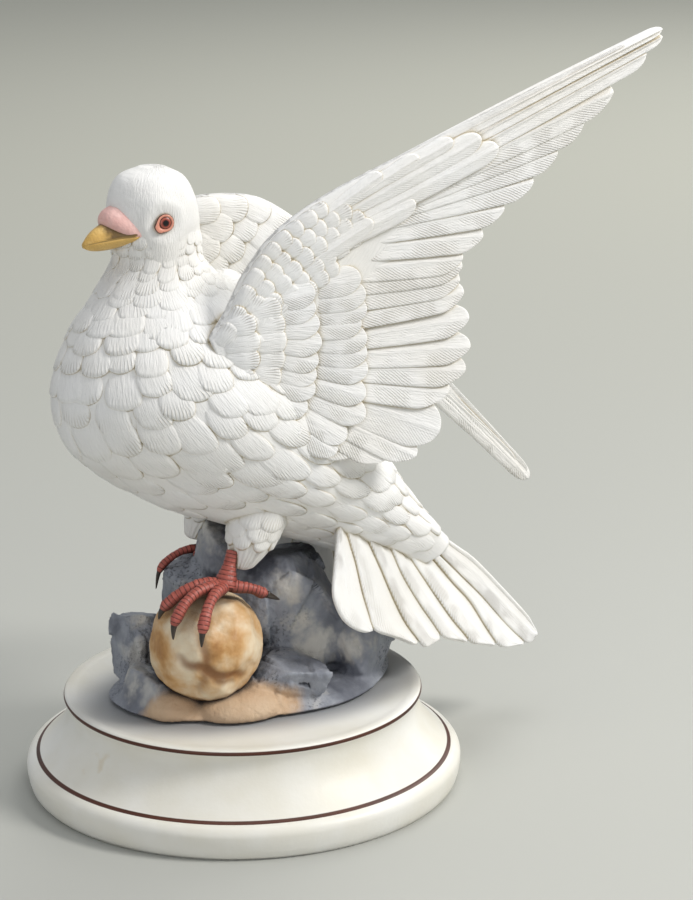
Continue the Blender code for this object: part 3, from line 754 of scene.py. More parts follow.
def scaleRow(wing, row, droop, lift, look, side=1.0):
    # small scales in a line that follows the top edge, each with its tip out along the wing
    start, end, below, size = row
    made = []
    count = int(abs(end - start) / (size * 0.70))
    shift = chance.uniform(0, 0.5)
    for i in range(count + 1):
        p = start + (end - start) * (i + shift) / (count + 1) + chance.uniform(-0.5, 0.5)
        ahead = size * chance.uniform(1.05, 1.3)
        top, bottom, _ = coreAt(wing, p)
        slope = (coreAt(wing, p + 4)[0] - coreAt(wing, p - 4)[0]) / 8
        lean = (slope * max(1 - below / 70, 0.2) - droop) * ahead / 2
        q = top - below * math.sqrt(1 + slope ** 2) + chance.uniform(-0.4, 0.4)
        if q - size * 0.3 < bottom:
            continue
        made.append(midFeather(wing, (p - ahead / 2, q - lean), (p + ahead / 2, q + lean),
                               size * chance.uniform(0.95, 1.15), lift, look, side, True))
    return made


def makeNearWing():
    wing = nearWing
    parts = [makeCore("nearCore", wing)]
    for i, (p, q, endP, endQ, width) in enumerate(wing["flight"]):
        look = dict(looks["flight"])
        taper = 0.0
        if i < len(wing["taper"]):
            look.update(looks["quill"])
            taper = wing["taper"][i]
        elif i == len(wing["taper"]):
            look.update(ridge=0.8, round=2.2)
        if i in wing["proud"]:
            look.update(tilt=1.7)
        if i == wing["broad"]:
            look.update(tilt=0.6, combed=0.35, skew=0.1, round=1.3)
        parts.append(edgeFeather(wing, (p, q), (endP, endQ), width, 0.5, look, 1.0, taper))
    for i, (p, q, endP, endQ, width) in enumerate(wing["edge"]):
        parts.append(edgeFeather(wing, (p, q), (endP, endQ), width, 2.5 + 0.15 * i,
                                 looks["edge"]))
    small = dict(looks["scale"], sink=1.2)
    for row, width, lift, look, onCore in (("greater", 13.0, 2.3, looks["covert"], False),
                                           ("median", 12.5, 3.5, looks["covert"], False),
                                           ("lesser", 12.0, 0.1, small, True),
                                           ("small", 11.0, 0.3, small, True)):
        tips = wing[row]
        for i, tip in enumerate(tips):
            root = through(wing[row + "Roots"], i / (len(tips) - 1))[0]
            parts.append(midFeather(wing, root, tip, width, lift, look, 1.0, onCore))
    for row in wing["arm"]:
        parts += scaleRow(wing, row, 0.1, -0.2, dict(looks["scale"], sink=1.0, rise=0.8))
    # the hidden side: the same rows, plainer
    parts += rowBetween(wing, wing["greaterRoots"], wing["greater"][::2], 8, (13, 13), 2.4,
                        looks["covert"], -1.0)
    parts += rowBetween(wing, wing["medianRoots"], wing["median"][::2], 6, (14, 14), 3.6,
                        looks["covert"], -1.0)
    for p, q, endP, endQ, width in wing["edge"]:
        parts.append(edgeFeather(wing, (p, q), (endP, endQ), width, 1.8, looks["edge"], -1.0))
    for row in wing["arm"]:
        parts += scaleRow(wing, row, 0.1, -0.2, looks["scale"], -1.0)
    return joinPieces("nearWing", parts)


def makeKnob(centre, size):
    # the rounded elbow that shows behind the neck
    knob = addIco("knob", 5)
    co = readPoints(knob)
    points = co * size + centre
    writeGuide(knob, "flow", np.stack((co[:, 2] * 12, co[:, 1] * 12, co[:, 0] * 0), axis=1))
    writeGuide(knob, "comb", np.stack((np.arctan2(co[:, 2], co[:, 1] + 1.2) * size[2] * 1.1,
                                       1.2 * ease(-0.5, 0.2, co[:, 0]), co[:, 0] * 0), axis=1))
    writePoints(knob, toMetres(points))
    onlySelect(knob)
    bpy.ops.object.shade_smooth()
    return knob


def makeFarWing():
    wing = farWing
    parts = [makeCore("farCore", wing)]
    flights = dict(looks["flight"], skew=0.1)
    for i, (p, q, endP, endQ, width) in enumerate(wing["flight"]):
        look = dict(flights, tilt=0.3, camber=1.0) if i < 3 else flights
        parts.append(midFeather(wing, (p, q), (endP, endQ), width, 0.5, look))
        if i % 2 == 0 or i == 1:
            parts.append(midFeather(wing, (p, q), (endP - 2, endQ), width + (4 if i > 2 else 0),
                                    0.3, flights, -1.0))
    for row in wing["scales"]:
        for side in (1.0, -1.0):
            parts += scaleRow(wing, row, 0.12, -0.1, dict(looks["scale"], sink=1.1), side)
    for centre, size in wing["knobs"]:
        parts.append(makeKnob(centre, size))
    return joinPieces("farWing", parts)


# tail: a drooping fan, each feather drawn between the two lines that bound it
tail = {
    # the left half's boundary lines, outermost first, each from root to tip; x, y, z in mm
    "lines": (
        ((30.4, 29.0, 106.0), (37.7, 23.8, 96.7), (43.2, 20.1, 89.3), (45.6, 19.9, 84.8),
         (47.2, 22.4, 78.4), (46.8, 28.1, 72.8), (45.2, 33.8, 69.4)),
        ((26.7, 36.1, 103.9), (30.7, 37.4, 94.3), (35.8, 37.5, 84.1), (39.5, 38.3, 75.9),
         (42.0, 39.7, 69.2)),
        ((22.8, 48.4, 97.5), (25.3, 51.6, 88.4), (29.2, 55.2, 76.4), (32.2, 59.2, 66.1),
         (33.4, 64.3, 58.2), (33.8, 67.6, 53.7)),
        ((19.6, 59.7, 93.4), (22.3, 63.2, 83.0), (24.4, 69.3, 71.3), (25.5, 75.2, 61.9),
         (26.2, 80.7, 53.8)),
        ((15.6, 69.8, 88.7), (17.3, 79.0, 73.6), (18.6, 87.9, 59.6), (18.6, 94.7, 50.9),
         (18.4, 99.2, 45.3)),
        ((7.4, 86.1, 82.0), (8.4, 95.2, 70.3), (8.7, 103.3, 60.8), (10.7, 109.8, 49.2),
         (11.8, 116.8, 38.6)),
        ((4.4, 102.8, 69.9), (4.4, 111.9, 60.1), (5.2, 122.2, 47.4), (5.3, 130.0, 39.1),
         (4.8, 135.8, 34.0)),
        ((0.0, 101.0, 84.5), (0.0, 110.5, 76.8), (0.0, 124.5, 61.6), (0.0, 137.0, 47.2),
         (0.0, 144.2, 37.0))),
    "rootReach": 16.0, "tuck": 3.0,
}


def evenLine(knots):
    # points along a line by its length, from 0 to 1
    fine = through(knots, np.linspace(0, 1, 80))
    run = np.concatenate(([0], np.cumsum(np.linalg.norm(np.diff(fine, axis=0), axis=1))))
    run /= run[-1]

    def at(t):
        t = np.clip(t, 0, 1)
        return np.stack([np.interp(t, run, fine[:, k]) for k in range(3)], axis=1)

    return at


def tailFeather(outer, inner, side):
    # both lines start under the coverts and end in the feather's tip
    def rooted(line):
        line = np.asarray(line, float)
        return np.vstack((line[0] - unitVector(line[1] - line[0]) * tail["rootReach"], line))

    corner = np.asarray(outer[-1]) * 0.5 + np.asarray(inner[-1]) * 0.5
    outerLine = evenLine(np.vstack((rooted(outer), corner)))
    innerLine = evenLine(rooted(inner))

    # the pair at the ridge meets there, the others tuck under their neighbour
    tuck = 0.0 if inner[0][0] == 0 else tail["tuck"]

    def frameAt(y):
        across = outerLine(y) - innerLine(y)
        ahead = innerLine(np.minimum(y + 0.02, 1.0)) - innerLine(np.maximum(y - 0.02, 0.0))
        return across, ahead

    def place(x, y, h):
        across, ahead = frameAt(np.minimum(y, 0.75))
        wide = np.linalg.norm(across, axis=1)[:, None]
        face = np.cross(ahead, across)
        face /= np.linalg.norm(face, axis=1)[:, None]
        face = np.where((face @ np.array((0.8, 0.1, 0.6)))[:, None] < 0, -face, face)
        start, end = innerLine(y), outerLine(y)
        under = -across / wide * (tuck * np.clip(-x, 0, 1) ** 2)[:, None]
        points = start + (end - start) * ((x + 1) / 2)[:, None] + under + face * h[:, None]
        return points * (side, 1.0, 1.0)

    length = np.linalg.norm(np.asarray(inner[-1]) - np.asarray(inner[0])) + tail["rootReach"]
    look = looks["tail"]
    if inner[0][0] == 0:
        look = dict(look, tilt=0.1, camber=0.35)
    made = feather(bladeBlank, place, 14.0, length, look)
    if side < 0:
        made.data.flip_normals()
    return made


def makeTail():
    parts = []
    lines = tail["lines"]
    for outer, inner in zip(lines, lines[1:]):
        for side in (1.0, -1.0):
            parts.append(tailFeather(outer, inner, side))
    return joinPieces("tail", parts)


# head's small pieces
face = {
    # y, mouth line's z, half width, height above and below the mouth line, in mm
    "bill": ((-43.0, 235.2, 9.0, 5.5, 3.5), (-48.5, 234.4, 11.8, 6.0, 4.2),
             (-53.0, 233.8, 8.6, 6.0, 5.2), (-58.0, 233.0, 5.9, 5.2, 4.9),
             (-62.5, 232.2, 3.6, 3.6, 3.6), (-66.0, 231.2, 0.9, 0.9, 1.0)),
    "cere": (0.0, -50.6, 239.9), "cereSize": (12.5, 7.2, 5.3), "cereBend": (0.036, 0.035),
    "eyeBall": 2.65, "lid": 2.9, "lidWire": 0.62, "corner": 1.25,
}


def makeBill():
    def place(angle, share):
        y, z, half, above, below = through(face["bill"], share).T
        up = np.sin(angle)
        rise = np.where(up > 0, above, below) * np.sign(up) * np.abs(up) ** 1.25
        # the two halves meet in a shallow mouth line
        mouth = 1 - 0.07 * np.exp(-(up / 0.10) ** 2) * (share > 0.2)
        return turnWithHead(np.stack((half * np.cos(angle) * mouth, y, z + rise), axis=1))

    def guide(angle, share):
        # how near to the mouth line, to the top ridge, and how far out from the cere
        return np.stack((np.sin(angle), share, np.cos(angle)), axis=1)

    return wrapGrid("bill", 56, 60, place, guide)


def makeCere():
    cere = addIco("cere", 5)
    co = readPoints(cere)
    # a soft saddle over the bill's root, with a shallow furrow down its middle
    furrow = 1 - 0.06 * np.exp(-(co[:, 0] / 0.14) ** 2) * (co[:, 2] > 0)
    points = co * furrow[:, None] * face["cereSize"]
    across = points[:, 0] ** 2
    points[:, 1] += face["cereBend"][0] * across
    points[:, 2] -= face["cereBend"][1] * across
    writeGuide(cere, "flow", np.stack((co[:, 0], co[:, 2], co[:, 1]), axis=1))
    writePoints(cere, toMetres(turnWithHead(points + face["cere"])))
    onlySelect(cere)
    bpy.ops.object.shade_smooth()
    return cere


def eyeMatrix(side):
    spot = turnWithHead(np.array([[bird["eye"][0] * side, *bird["eye"][1:]]]))[0]
    ahead = bird["eyeAxis"]
    tip = turnWithHead(np.array([[(bird["eye"][0] + ahead[0]) * side,
                                  bird["eye"][1] + ahead[1], bird["eye"][2] + ahead[2]]]))[0]
    axis = Vector(tip - spot)
    turn = axis.to_track_quat("Z", "Y").to_matrix().to_4x4()
    return Matrix.Translation(Vector(toMetres(spot))) @ turn @ Matrix.Scale(0.001, 4)


def makeEye(side):
    bpy.ops.object.select_all(action="DESELECT")
    bpy.ops.mesh.primitive_uv_sphere_add(segments=40, ring_count=24, radius=face["eyeBall"])
    ball = bpy.context.object
    co = readPoints(ball)
    writeGuide(ball, "flow", np.stack((np.hypot(co[:, 0], co[:, 1]), co[:, 2], co[:, 0] * 0),
                                      axis=1))
    co[:, 2] = co[:, 2] * 0.40 - 0.15
    writePoints(ball, co)
    bpy.ops.object.select_all(action="DESELECT")
    bpy.ops.mesh.primitive_torus_add(major_radius=face["lid"], minor_radius=face["lidWire"],
                                     major_segments=48, minor_segments=16)
    lid = bpy.context.object
    co = readPoints(lid)
    far = np.hypot(co[:, 0], co[:, 1])
    writeGuide(lid, "flow", np.stack((far - face["lid"] + 10, co[:, 2], co[:, 0] * 0), axis=1))
    # the corner of the eye is drawn out a little, down and forward
    corner = unitVector((-0.8 * side, -0.6))
    pull = np.clip((co[:, 0] * corner[0] + co[:, 1] * corner[1]) / face["lid"], 0, 1) ** 6
    co[:, 0] += corner[0] * pull * face["corner"]
    co[:, 1] += corner[1] * pull * face["corner"]
    writePoints(lid, co)
    for part in (ball, lid):
        part.data.transform(eyeMatrix(side))
        part.data.update()
    eye = joinPieces("eyeLeft" if side > 0 else "eyeRight", [ball, lid])
    bpy.ops.object.shade_smooth()
    return eye


# legs
legs = {
    "thigh": ((14.0, 8.0, 134.0, 11.0), (17.8, 0.5, 119.5, 12.0), (20.6, -5.5, 107.0, 9.4),
              (22.3, -10.5, 97.5, 4.0)), "thighLength": 43.0,
    # share along the thigh where a row of small feathers starts, its count and size in mm
    "thighRows": ((0.04, 8, 15.0, 20.0), (0.20, 8, 14.0, 18.0), (0.36, 8, 12.0, 15.0)),
    # each toe from the ankle to its claw's tip, the hind one last
    "left": (((24.0, -19.0, 93.0), (24.0, -28.0, 94.5), (22.5, -37.0, 91.5),
              (20.5, -43.5, 86.0), (19.0, -45.5, 80.0)),
             ((25.0, -19.0, 93.0), (29.0, -30.0, 94.0), (32.0, -39.0, 90.5),
              (33.5, -44.5, 84.0), (32.5, -45.0, 75.0)),
             ((26.0, -19.0, 93.0), (32.0, -26.0, 92.5), (38.0, -32.5, 88.0),
              (41.0, -36.0, 81.5), (40.5, -36.5, 73.0)),
             ((25.0, -18.0, 93.0), (28.0, -9.0, 90.5), (29.5, -3.0, 88.0), (29.0, 4.0, 84.0))),
    "right": (((-19.0, -5.0, 94.0), (-17.0, -9.0, 94.0), (-15.5, -13.0, 92.5),
               (-15.0, -15.0, 86.0)),
              ((-21.0, -5.0, 93.5), (-22.0, -13.5, 93.5), (-22.0, -21.0, 91.2),
               (-22.0, -26.4, 86.8), (-22.0, -28.8, 76.5)),
              ((-21.0, -5.0, 94.0), (-26.0, -6.0, 93.0), (-31.0, -5.0, 88.0),
               (-33.0, -4.0, 80.0)),
              ((-20.0, -4.0, 93.5), (-21.0, 4.0, 90.0), (-22.0, 9.0, 84.0))),
    "toe": 2.35, "claw": 1.45, "shank": 3.0, "scutePitch": 1.75, "rightSize": 0.72,
    "knees": {1.0: (22.5, -13.5, 106.0), -1.0: (-22.5, -6.0, 106.0)},
}


def makeTube(name, knots, radius, around, along):
    # radius takes the share along and the angle round, 90 degrees being the upper side
    knots = np.asarray(knots, float)
    fine = through(knots, np.linspace(0, 1, 60))
    length = np.linalg.norm(np.diff(fine, axis=0), axis=1).sum()

    def place(angle, share):
        centre = through(knots, share)
        ahead = (through(knots, np.minimum(share + 0.02, 1))
                 - through(knots, np.maximum(share - 0.02, 0)))
        ahead /= np.linalg.norm(ahead, axis=1)[:, None]
        side = np.cross(ahead, (0.0, 0.0, 1.0)) + (0.05, 0.0, 0.0)
        side /= np.linalg.norm(side, axis=1)[:, None]
        up = np.cross(side, ahead)
        r = radius(share, angle, length)[:, None]
        return centre + r * (side * np.cos(angle)[:, None] + up * np.sin(angle)[:, None])

    def guide(angle, share):
        # across, along, and 1 on the upper side down to 0 underneath
        return np.stack((angle * 3.0, share * length, np.sin(angle) * 0.5 + 0.5), axis=1)

    return wrapGrid(name, around, along, place, guide)


def toeRadius(share, angle, length):
    # overlapping scutes on the upper side, a soft pad below, rounded at the end
    run = share * length / legs["scutePitch"] + 0.35 * np.cos(angle) + 0.3 * np.sin(share * 17)
    beat = run % 1.0
    size = 0.75 + 0.25 * np.sin(np.floor(run) * 2.4)
    top = np.clip(np.sin(angle) + 0.45, 0, 1)
    scute = 0.6 * size * (beat ** 0.5 * (1 - beat) ** 0.25) * top
    knuckle = 0.4 * np.sin(share * 9.5) * np.clip(0.8 - np.sin(angle), 0, 1)
    end = np.sqrt(np.clip(1 - ((share - 0.86) / 0.14).clip(0, 1) ** 2, 0, 1))
    return (legs["toe"] * (1.05 - 0.22 * share) + scute + knuckle) * (0.02 + 0.98 * end)


def clawRadius(share, angle, length):
    return legs["claw"] * (1 - share) ** 0.7 * np.where(share < 0.05, 0.9, 1.0) + 0.15


def makeFoot(side):
    toes = legs["left"] if side > 0 else legs["right"]
    slim = 1.0 if side > 0 else legs["rightSize"]
    heel = np.mean([toe[0] for toe in toes], axis=0)
    parts = []
    claws = []
    for toe in toes:
        toe = np.asarray(toe)
        split = 1 - 0.78 / (len(toe) - 1)
        fine = through(toe, np.linspace(0, 1, 41))
        cut = int(round(split * 40))
        parts.append(makeTube("toe", fine[:cut + 1:4],
                              lambda s, a, n: slim * toeRadius(s, a, n), 24, 96))
        claws.append(makeTube("claw", fine[cut - 3::3],
                              lambda s, a, n: slim * clawRadius(s, a, n), 14, 20))

    def shankRadius(share, angle, length):
        beat = (share * length / 2.0) % 1.0
        return legs["shank"] * slim * (0.8 + 0.75 * ease(0.35, 1, share)) + 0.3 * beat ** 0.5

    knee = np.array(legs["knees"][side])
    parts.append(makeTube("shank", (knee, (knee + heel) / 2, heel - (0, 0, 1.0)), shankRadius,
                          24, 48))
    name = "Left" if side > 0 else "Right"
    return joinPieces("foot" + name, parts), joinPieces("claws" + name, claws)


def thighPoint(angle, share, lift, side):
    x, y, z, r = through(legs["thigh"], share).T
    r = r + lift
    return np.stack((x * side + r * np.cos(angle), y + r * np.sin(angle) * 0.9,
                     z - 0.175 * r * np.sin(angle)), axis=1)


def makeThigh(side):
    def place(angle, share):
        # the last row ends in a soft skirt of strokes round the shank
        close = np.sqrt(np.clip(1 - ((share - 0.93) / 0.07).clip(0, 1) ** 2, 0.0, 1))
        pleat = 0.28 * np.sin(26 * angle + 2 * np.sin(3 * angle)) * ease(0.55, 0.75, share)
        r = through(legs["thigh"], share)[:, 3]
        return thighPoint(angle, share, (close - 1) * r + pleat * close, side)

    parts = [wrapGrid("thigh", 96, 60, place)]
    look = dict(plumage["look"], sink=0.8, rise=0.9, camber=0.4, rim=0.1)
    for row, (start, count, width, length) in enumerate(legs["thighRows"]):
        for i in range(count):
            at = (i + 0.5 * (row % 2) + chance.uniform(-0.15, 0.15)) / count * 2 * math.pi
            reach = through(legs["thigh"], start)[0][3]

            def drape(x, y, lift, at=at, start=start, reach=reach):
                angle = at + x * width / 2 / reach
                share = np.clip(start + y * length / legs["thighLength"], 0, 1)
                return thighPoint(angle, share, lift, side)

            parts.append(feather(domeBlank, drape, width, length, look))
    return joinPieces("thighLeft" if side > 0 else "thighRight", parts)


# rock, stone and sand
rock = {
    # middle and half sizes; radius and height from the middle over the rim and back under
    "mound": (2.0, 4.5), "moundHalf": (41.0, 63.0),
    "moundRun": ((0, 0), (0.55, 0.62), (0.8, 0.9), (0.86, 1.0), (1.0, 0)),
    "moundRise": ((0, 9), (0.55, 7.4), (0.8, 4.2), (0.86, 0.6), (0.9, 0), (1.0, 0)),
    # centre, half sizes, turn about Z in degrees, and how many corners are struck off; a heap
    # with none stays round
    "blocks": (((-6.0, -4.0, 84.0), (13.5, 13.5, 32.0), 20.0, 6),
               ((-19.0, -10.0, 68.0), (16.0, 16.0, 26.0), -10.0, 6),
               ((-3.0, 14.0, 69.0), (26.0, 23.5, 31.5), 4.0, 8),
               ((14.0, 44.0, 50.0), (14.5, 14.5, 21.0), 25.0, 6),
               ((-18.0, -37.0, 55.5), (14.5, 12.0, 18.0), 15.0, 5),
               ((22.0, 5.0, 48.0), (18.0, 19.0, 13.0), -20.0, 6),
               ((4.0, -42.0, 46.0), (16.0, 12.0, 9.0), 10.0, 6),
               ((17.0, -38.0, 42.0), (12.0, 13.0, 8.5), -5.0, 0),
               ((30.0, -14.0, 42.0), (13.0, 19.0, 8.5), -5.0, 0)),
    # pale places wiped bare, and dark ones where the wash pooled: place and reach in mm
    "wiped": ((-4.0, -12.0, 106.0, 9.0), (4.0, -7.0, 101.0, 5.0), (19.0, 13.0, 84.0, 7.5),
              (20.0, 24.0, 58.0, 9.0), (21.0, 17.0, 70.0, 6.0), (6.0, -49.0, 51.0, 7.0),
              (25.0, 38.0, 57.0, 6.0), (-10.0, -40.0, 72.0, 5.0)),
    "pooled": ((12.0, -2.0, 62.0, 9.0), (8.0, 6.0, 93.0, 9.0), (16.0, 35.0, 66.0, 7.0),
               (22.0, 34.0, 50.0, 7.0), (-8.0, -44.0, 58.0, 9.0), (4.0, -14.0, 88.0, 8.0)),
    # heap of sand in front: middle and half sizes in mm, and where its paint is thickest
    "sand": ((24.0, -28.0, 43.0), (24.0, 34.0, 11.0)), "sandPaint": (0.036, -0.034, 0.043),
    # how sharp the hewn edges are, a chip's width and how far it tips, in mm
    "sharp": 44, "chip": 15.0, "chipTip": 4.4, "voxel": 0.0008,
}
stone = {
    "spot": (19.5, -25.0, 67.5), "radius": 22.6,
    # worn flats: which way each faces, and how far out as a share of the radius
    "flats": (((0.75, -0.1, 0.66), 0.93), ((0.55, 0.78, 0.3), 0.95),
              ((0.62, -0.75, 0.22), 0.96), ((0.85, 0.3, -0.42), 0.93),
              ((0.6, -0.6, -0.55), 0.94), ((0.05, -0.95, -0.3), 0.96),
              ((0.1, 0.2, 0.97), 0.93), ((-0.9, 0.1, 0.2), 0.95),
              ((0.2, 0.8, -0.6), 0.93)),
    # a forked crease: its middle, each arm's end and depth
    "fork": (0.88, -0.42, -0.12),
    "creases": (((0.62, -0.35, 0.70), 0.7), ((0.55, -0.83, 0.05), 0.8),
                ((0.84, 0.35, -0.42), 1.0), ((0.62, -0.42, -0.66), 0.6),
                ((0.85, 0.1, -0.5), 0.8)),
}


def addIco(name, levels):
    bpy.ops.object.select_all(action="DESELECT")
    bpy.ops.mesh.primitive_ico_sphere_add(subdivisions=levels, radius=1)
    piece = bpy.context.object
    piece.name = name
    return piece


def makeBlock(index, centre, half, turn, struck):
    # a hewn block: six tilted sides and a few corners struck off flat
    block = addIco("block", 6)
    co = readPoints(block)
    luck = random.Random(40 + index)
    planes = []
    for axis in range(3):
        for side in (1.0, -1.0):
            tilt = [luck.uniform(-0.22, 0.22) for _ in range(3)]
            tilt[axis] = side
            planes.append((unitVector(tilt), luck.uniform(0.80, 0.90)))
    for _ in range(struck):
        corner = [luck.choice((-1, 1)) * luck.uniform(0.4, 1.0) for _ in range(3)]
        planes.append((unitVector(corner), luck.uniform(0.88, 1.05)))
    near = np.zeros(len(co))
    for facing, far in planes if struck else []:
        near += np.clip((co @ facing) / far, 0, None) ** rock["sharp"]
    hewn = near ** (-1 / rock["sharp"]) if struck else near + 1
    x, y, z = (co * hewn[:, None] * np.asarray(half)).T
    c, s = math.cos(math.radians(turn)), math.sin(math.radians(turn))
    z = np.maximum(centre[2] + z, 40.2)
    writePoints(block, toMetres(np.stack((centre[0] + x * c - y * s,
                                          centre[1] + x * s + y * c, z), axis=1)))
    return block


def makeMound():
    def place(angle, share):
        r = np.interp(share, *zip(*rock["moundRun"]))
        z = np.interp(share, *zip(*rock["moundRise"]))
        wave = 1 + 0.03 * np.sin(3 * angle + 1) + 0.02 * np.sin(5 * angle)
        return np.stack((rock["mound"][0] + rock["moundHalf"][0] * r * wave * np.cos(angle),
                         rock["mound"][1] + rock["moundHalf"][1] * r * wave * np.sin(angle),
                         39.5 + z), axis=1)

    return wrapGrid("mound", 120, 60, place)


def makeRock():
    parts = [makeBlock(i, *block) for i, block in enumerate(rock["blocks"])]
    parts.append(makeMound())
    boulder = joinPieces("rock", parts)
    boulder.data.attributes.remove(boulder.data.attributes["flow"])
    applyModifier(boulder, "REMESH", mode="VOXEL", voxel_size=rock["voxel"])
    applyModifier(boulder, "SMOOTH", factor=0.5, iterations=1)
    # chipped faces and a fine broken grain, kept low at the foot
    co = readPoints(boulder)
    normals = np.empty(len(co) * 3)
    boulder.data.vertices.foreach_get("normal", normals)
    normals = normals.reshape(-1, 3)
    push = []
    for c in co * 1000:
        spot = Vector(c)
        # each chip is a flat of its own, tipped its own way
        where = Vector((c[0], c[1], c[2] * 0.7)) / rock["chip"]
        chip = noise.voronoi(where)[1][0]
        tip = noise.noise_vector(chip * 3.7)
        push.append(rock["chipTip"] * tip.dot(where - chip) + 0.5 * noise.noise(spot / 8.0)
                    + 0.3 * noise.noise(spot / 2.2) - 0.3)
    foot = ease(41.5, 46.0, co[:, 2] * 1000)
    sand = np.linalg.norm((co * 1000 - rock["sand"][0]) / rock["sand"][1], axis=1)
    push = np.array(push) * (0.2 + 0.8 * foot) * (0.12 + 0.88 * ease(0.8, 1.15, sand))
    points = co + normals * (push * 0.001)[:, None]
    points[:, 2] = np.maximum(points[:, 2], 0.0391)
    writePoints(boulder, points)
    onlySelect(boulder)
    bpy.ops.object.shade_smooth()
    return boulder


def makeBall():
    ball = addIco("roundStone", 6)
    co = readPoints(ball)
    # a boulder worn round: a few flats, soft lumps and a forked crease on the side that shows
    flats = np.zeros(len(co))
    for facing, far in stone["flats"]:
        flats += np.clip((co @ unitVector(facing)) / far, 0, None) ** 26
    swell = np.minimum(np.maximum(flats, 1e-9) ** (-1 / 26), 1.0) - 1.0
    swell += np.array([0.045 * noise.noise(Vector(c) * 1.9 + Vector((3.3, 0, 0)))
                       + 0.018 * noise.noise(Vector(c) * 5.0)
                       + 0.006 * noise.noise(Vector(c) * 14) for c in co])
    crease = np.zeros(len(co))
    fork = unitVector(stone["fork"])
    for end, depth in stone["creases"]:
        end = unitVector(end)
        for k in np.linspace(0, 1, 22):
            spot = fork + (end - fork) * k
            spot = unitVector(spot + 0.025 * math.sin(k * 7 + depth * 9))
            away = np.linalg.norm(co - spot, axis=1)
            crease = np.maximum(crease, depth * (1 - 0.45 * k) * np.exp(-(away / 0.12) ** 2))
    swell -= 0.06 * crease
    points = np.asarray(stone["spot"]) + co * (1 + swell)[:, None] * stone["radius"]
    writePoints(ball, toMetres(points))
    writeGuide(ball, "flow", np.stack((crease, swell, co[:, 2]), axis=1))
    onlySelect(ball)
    bpy.ops.object.shade_smooth()
    return ball


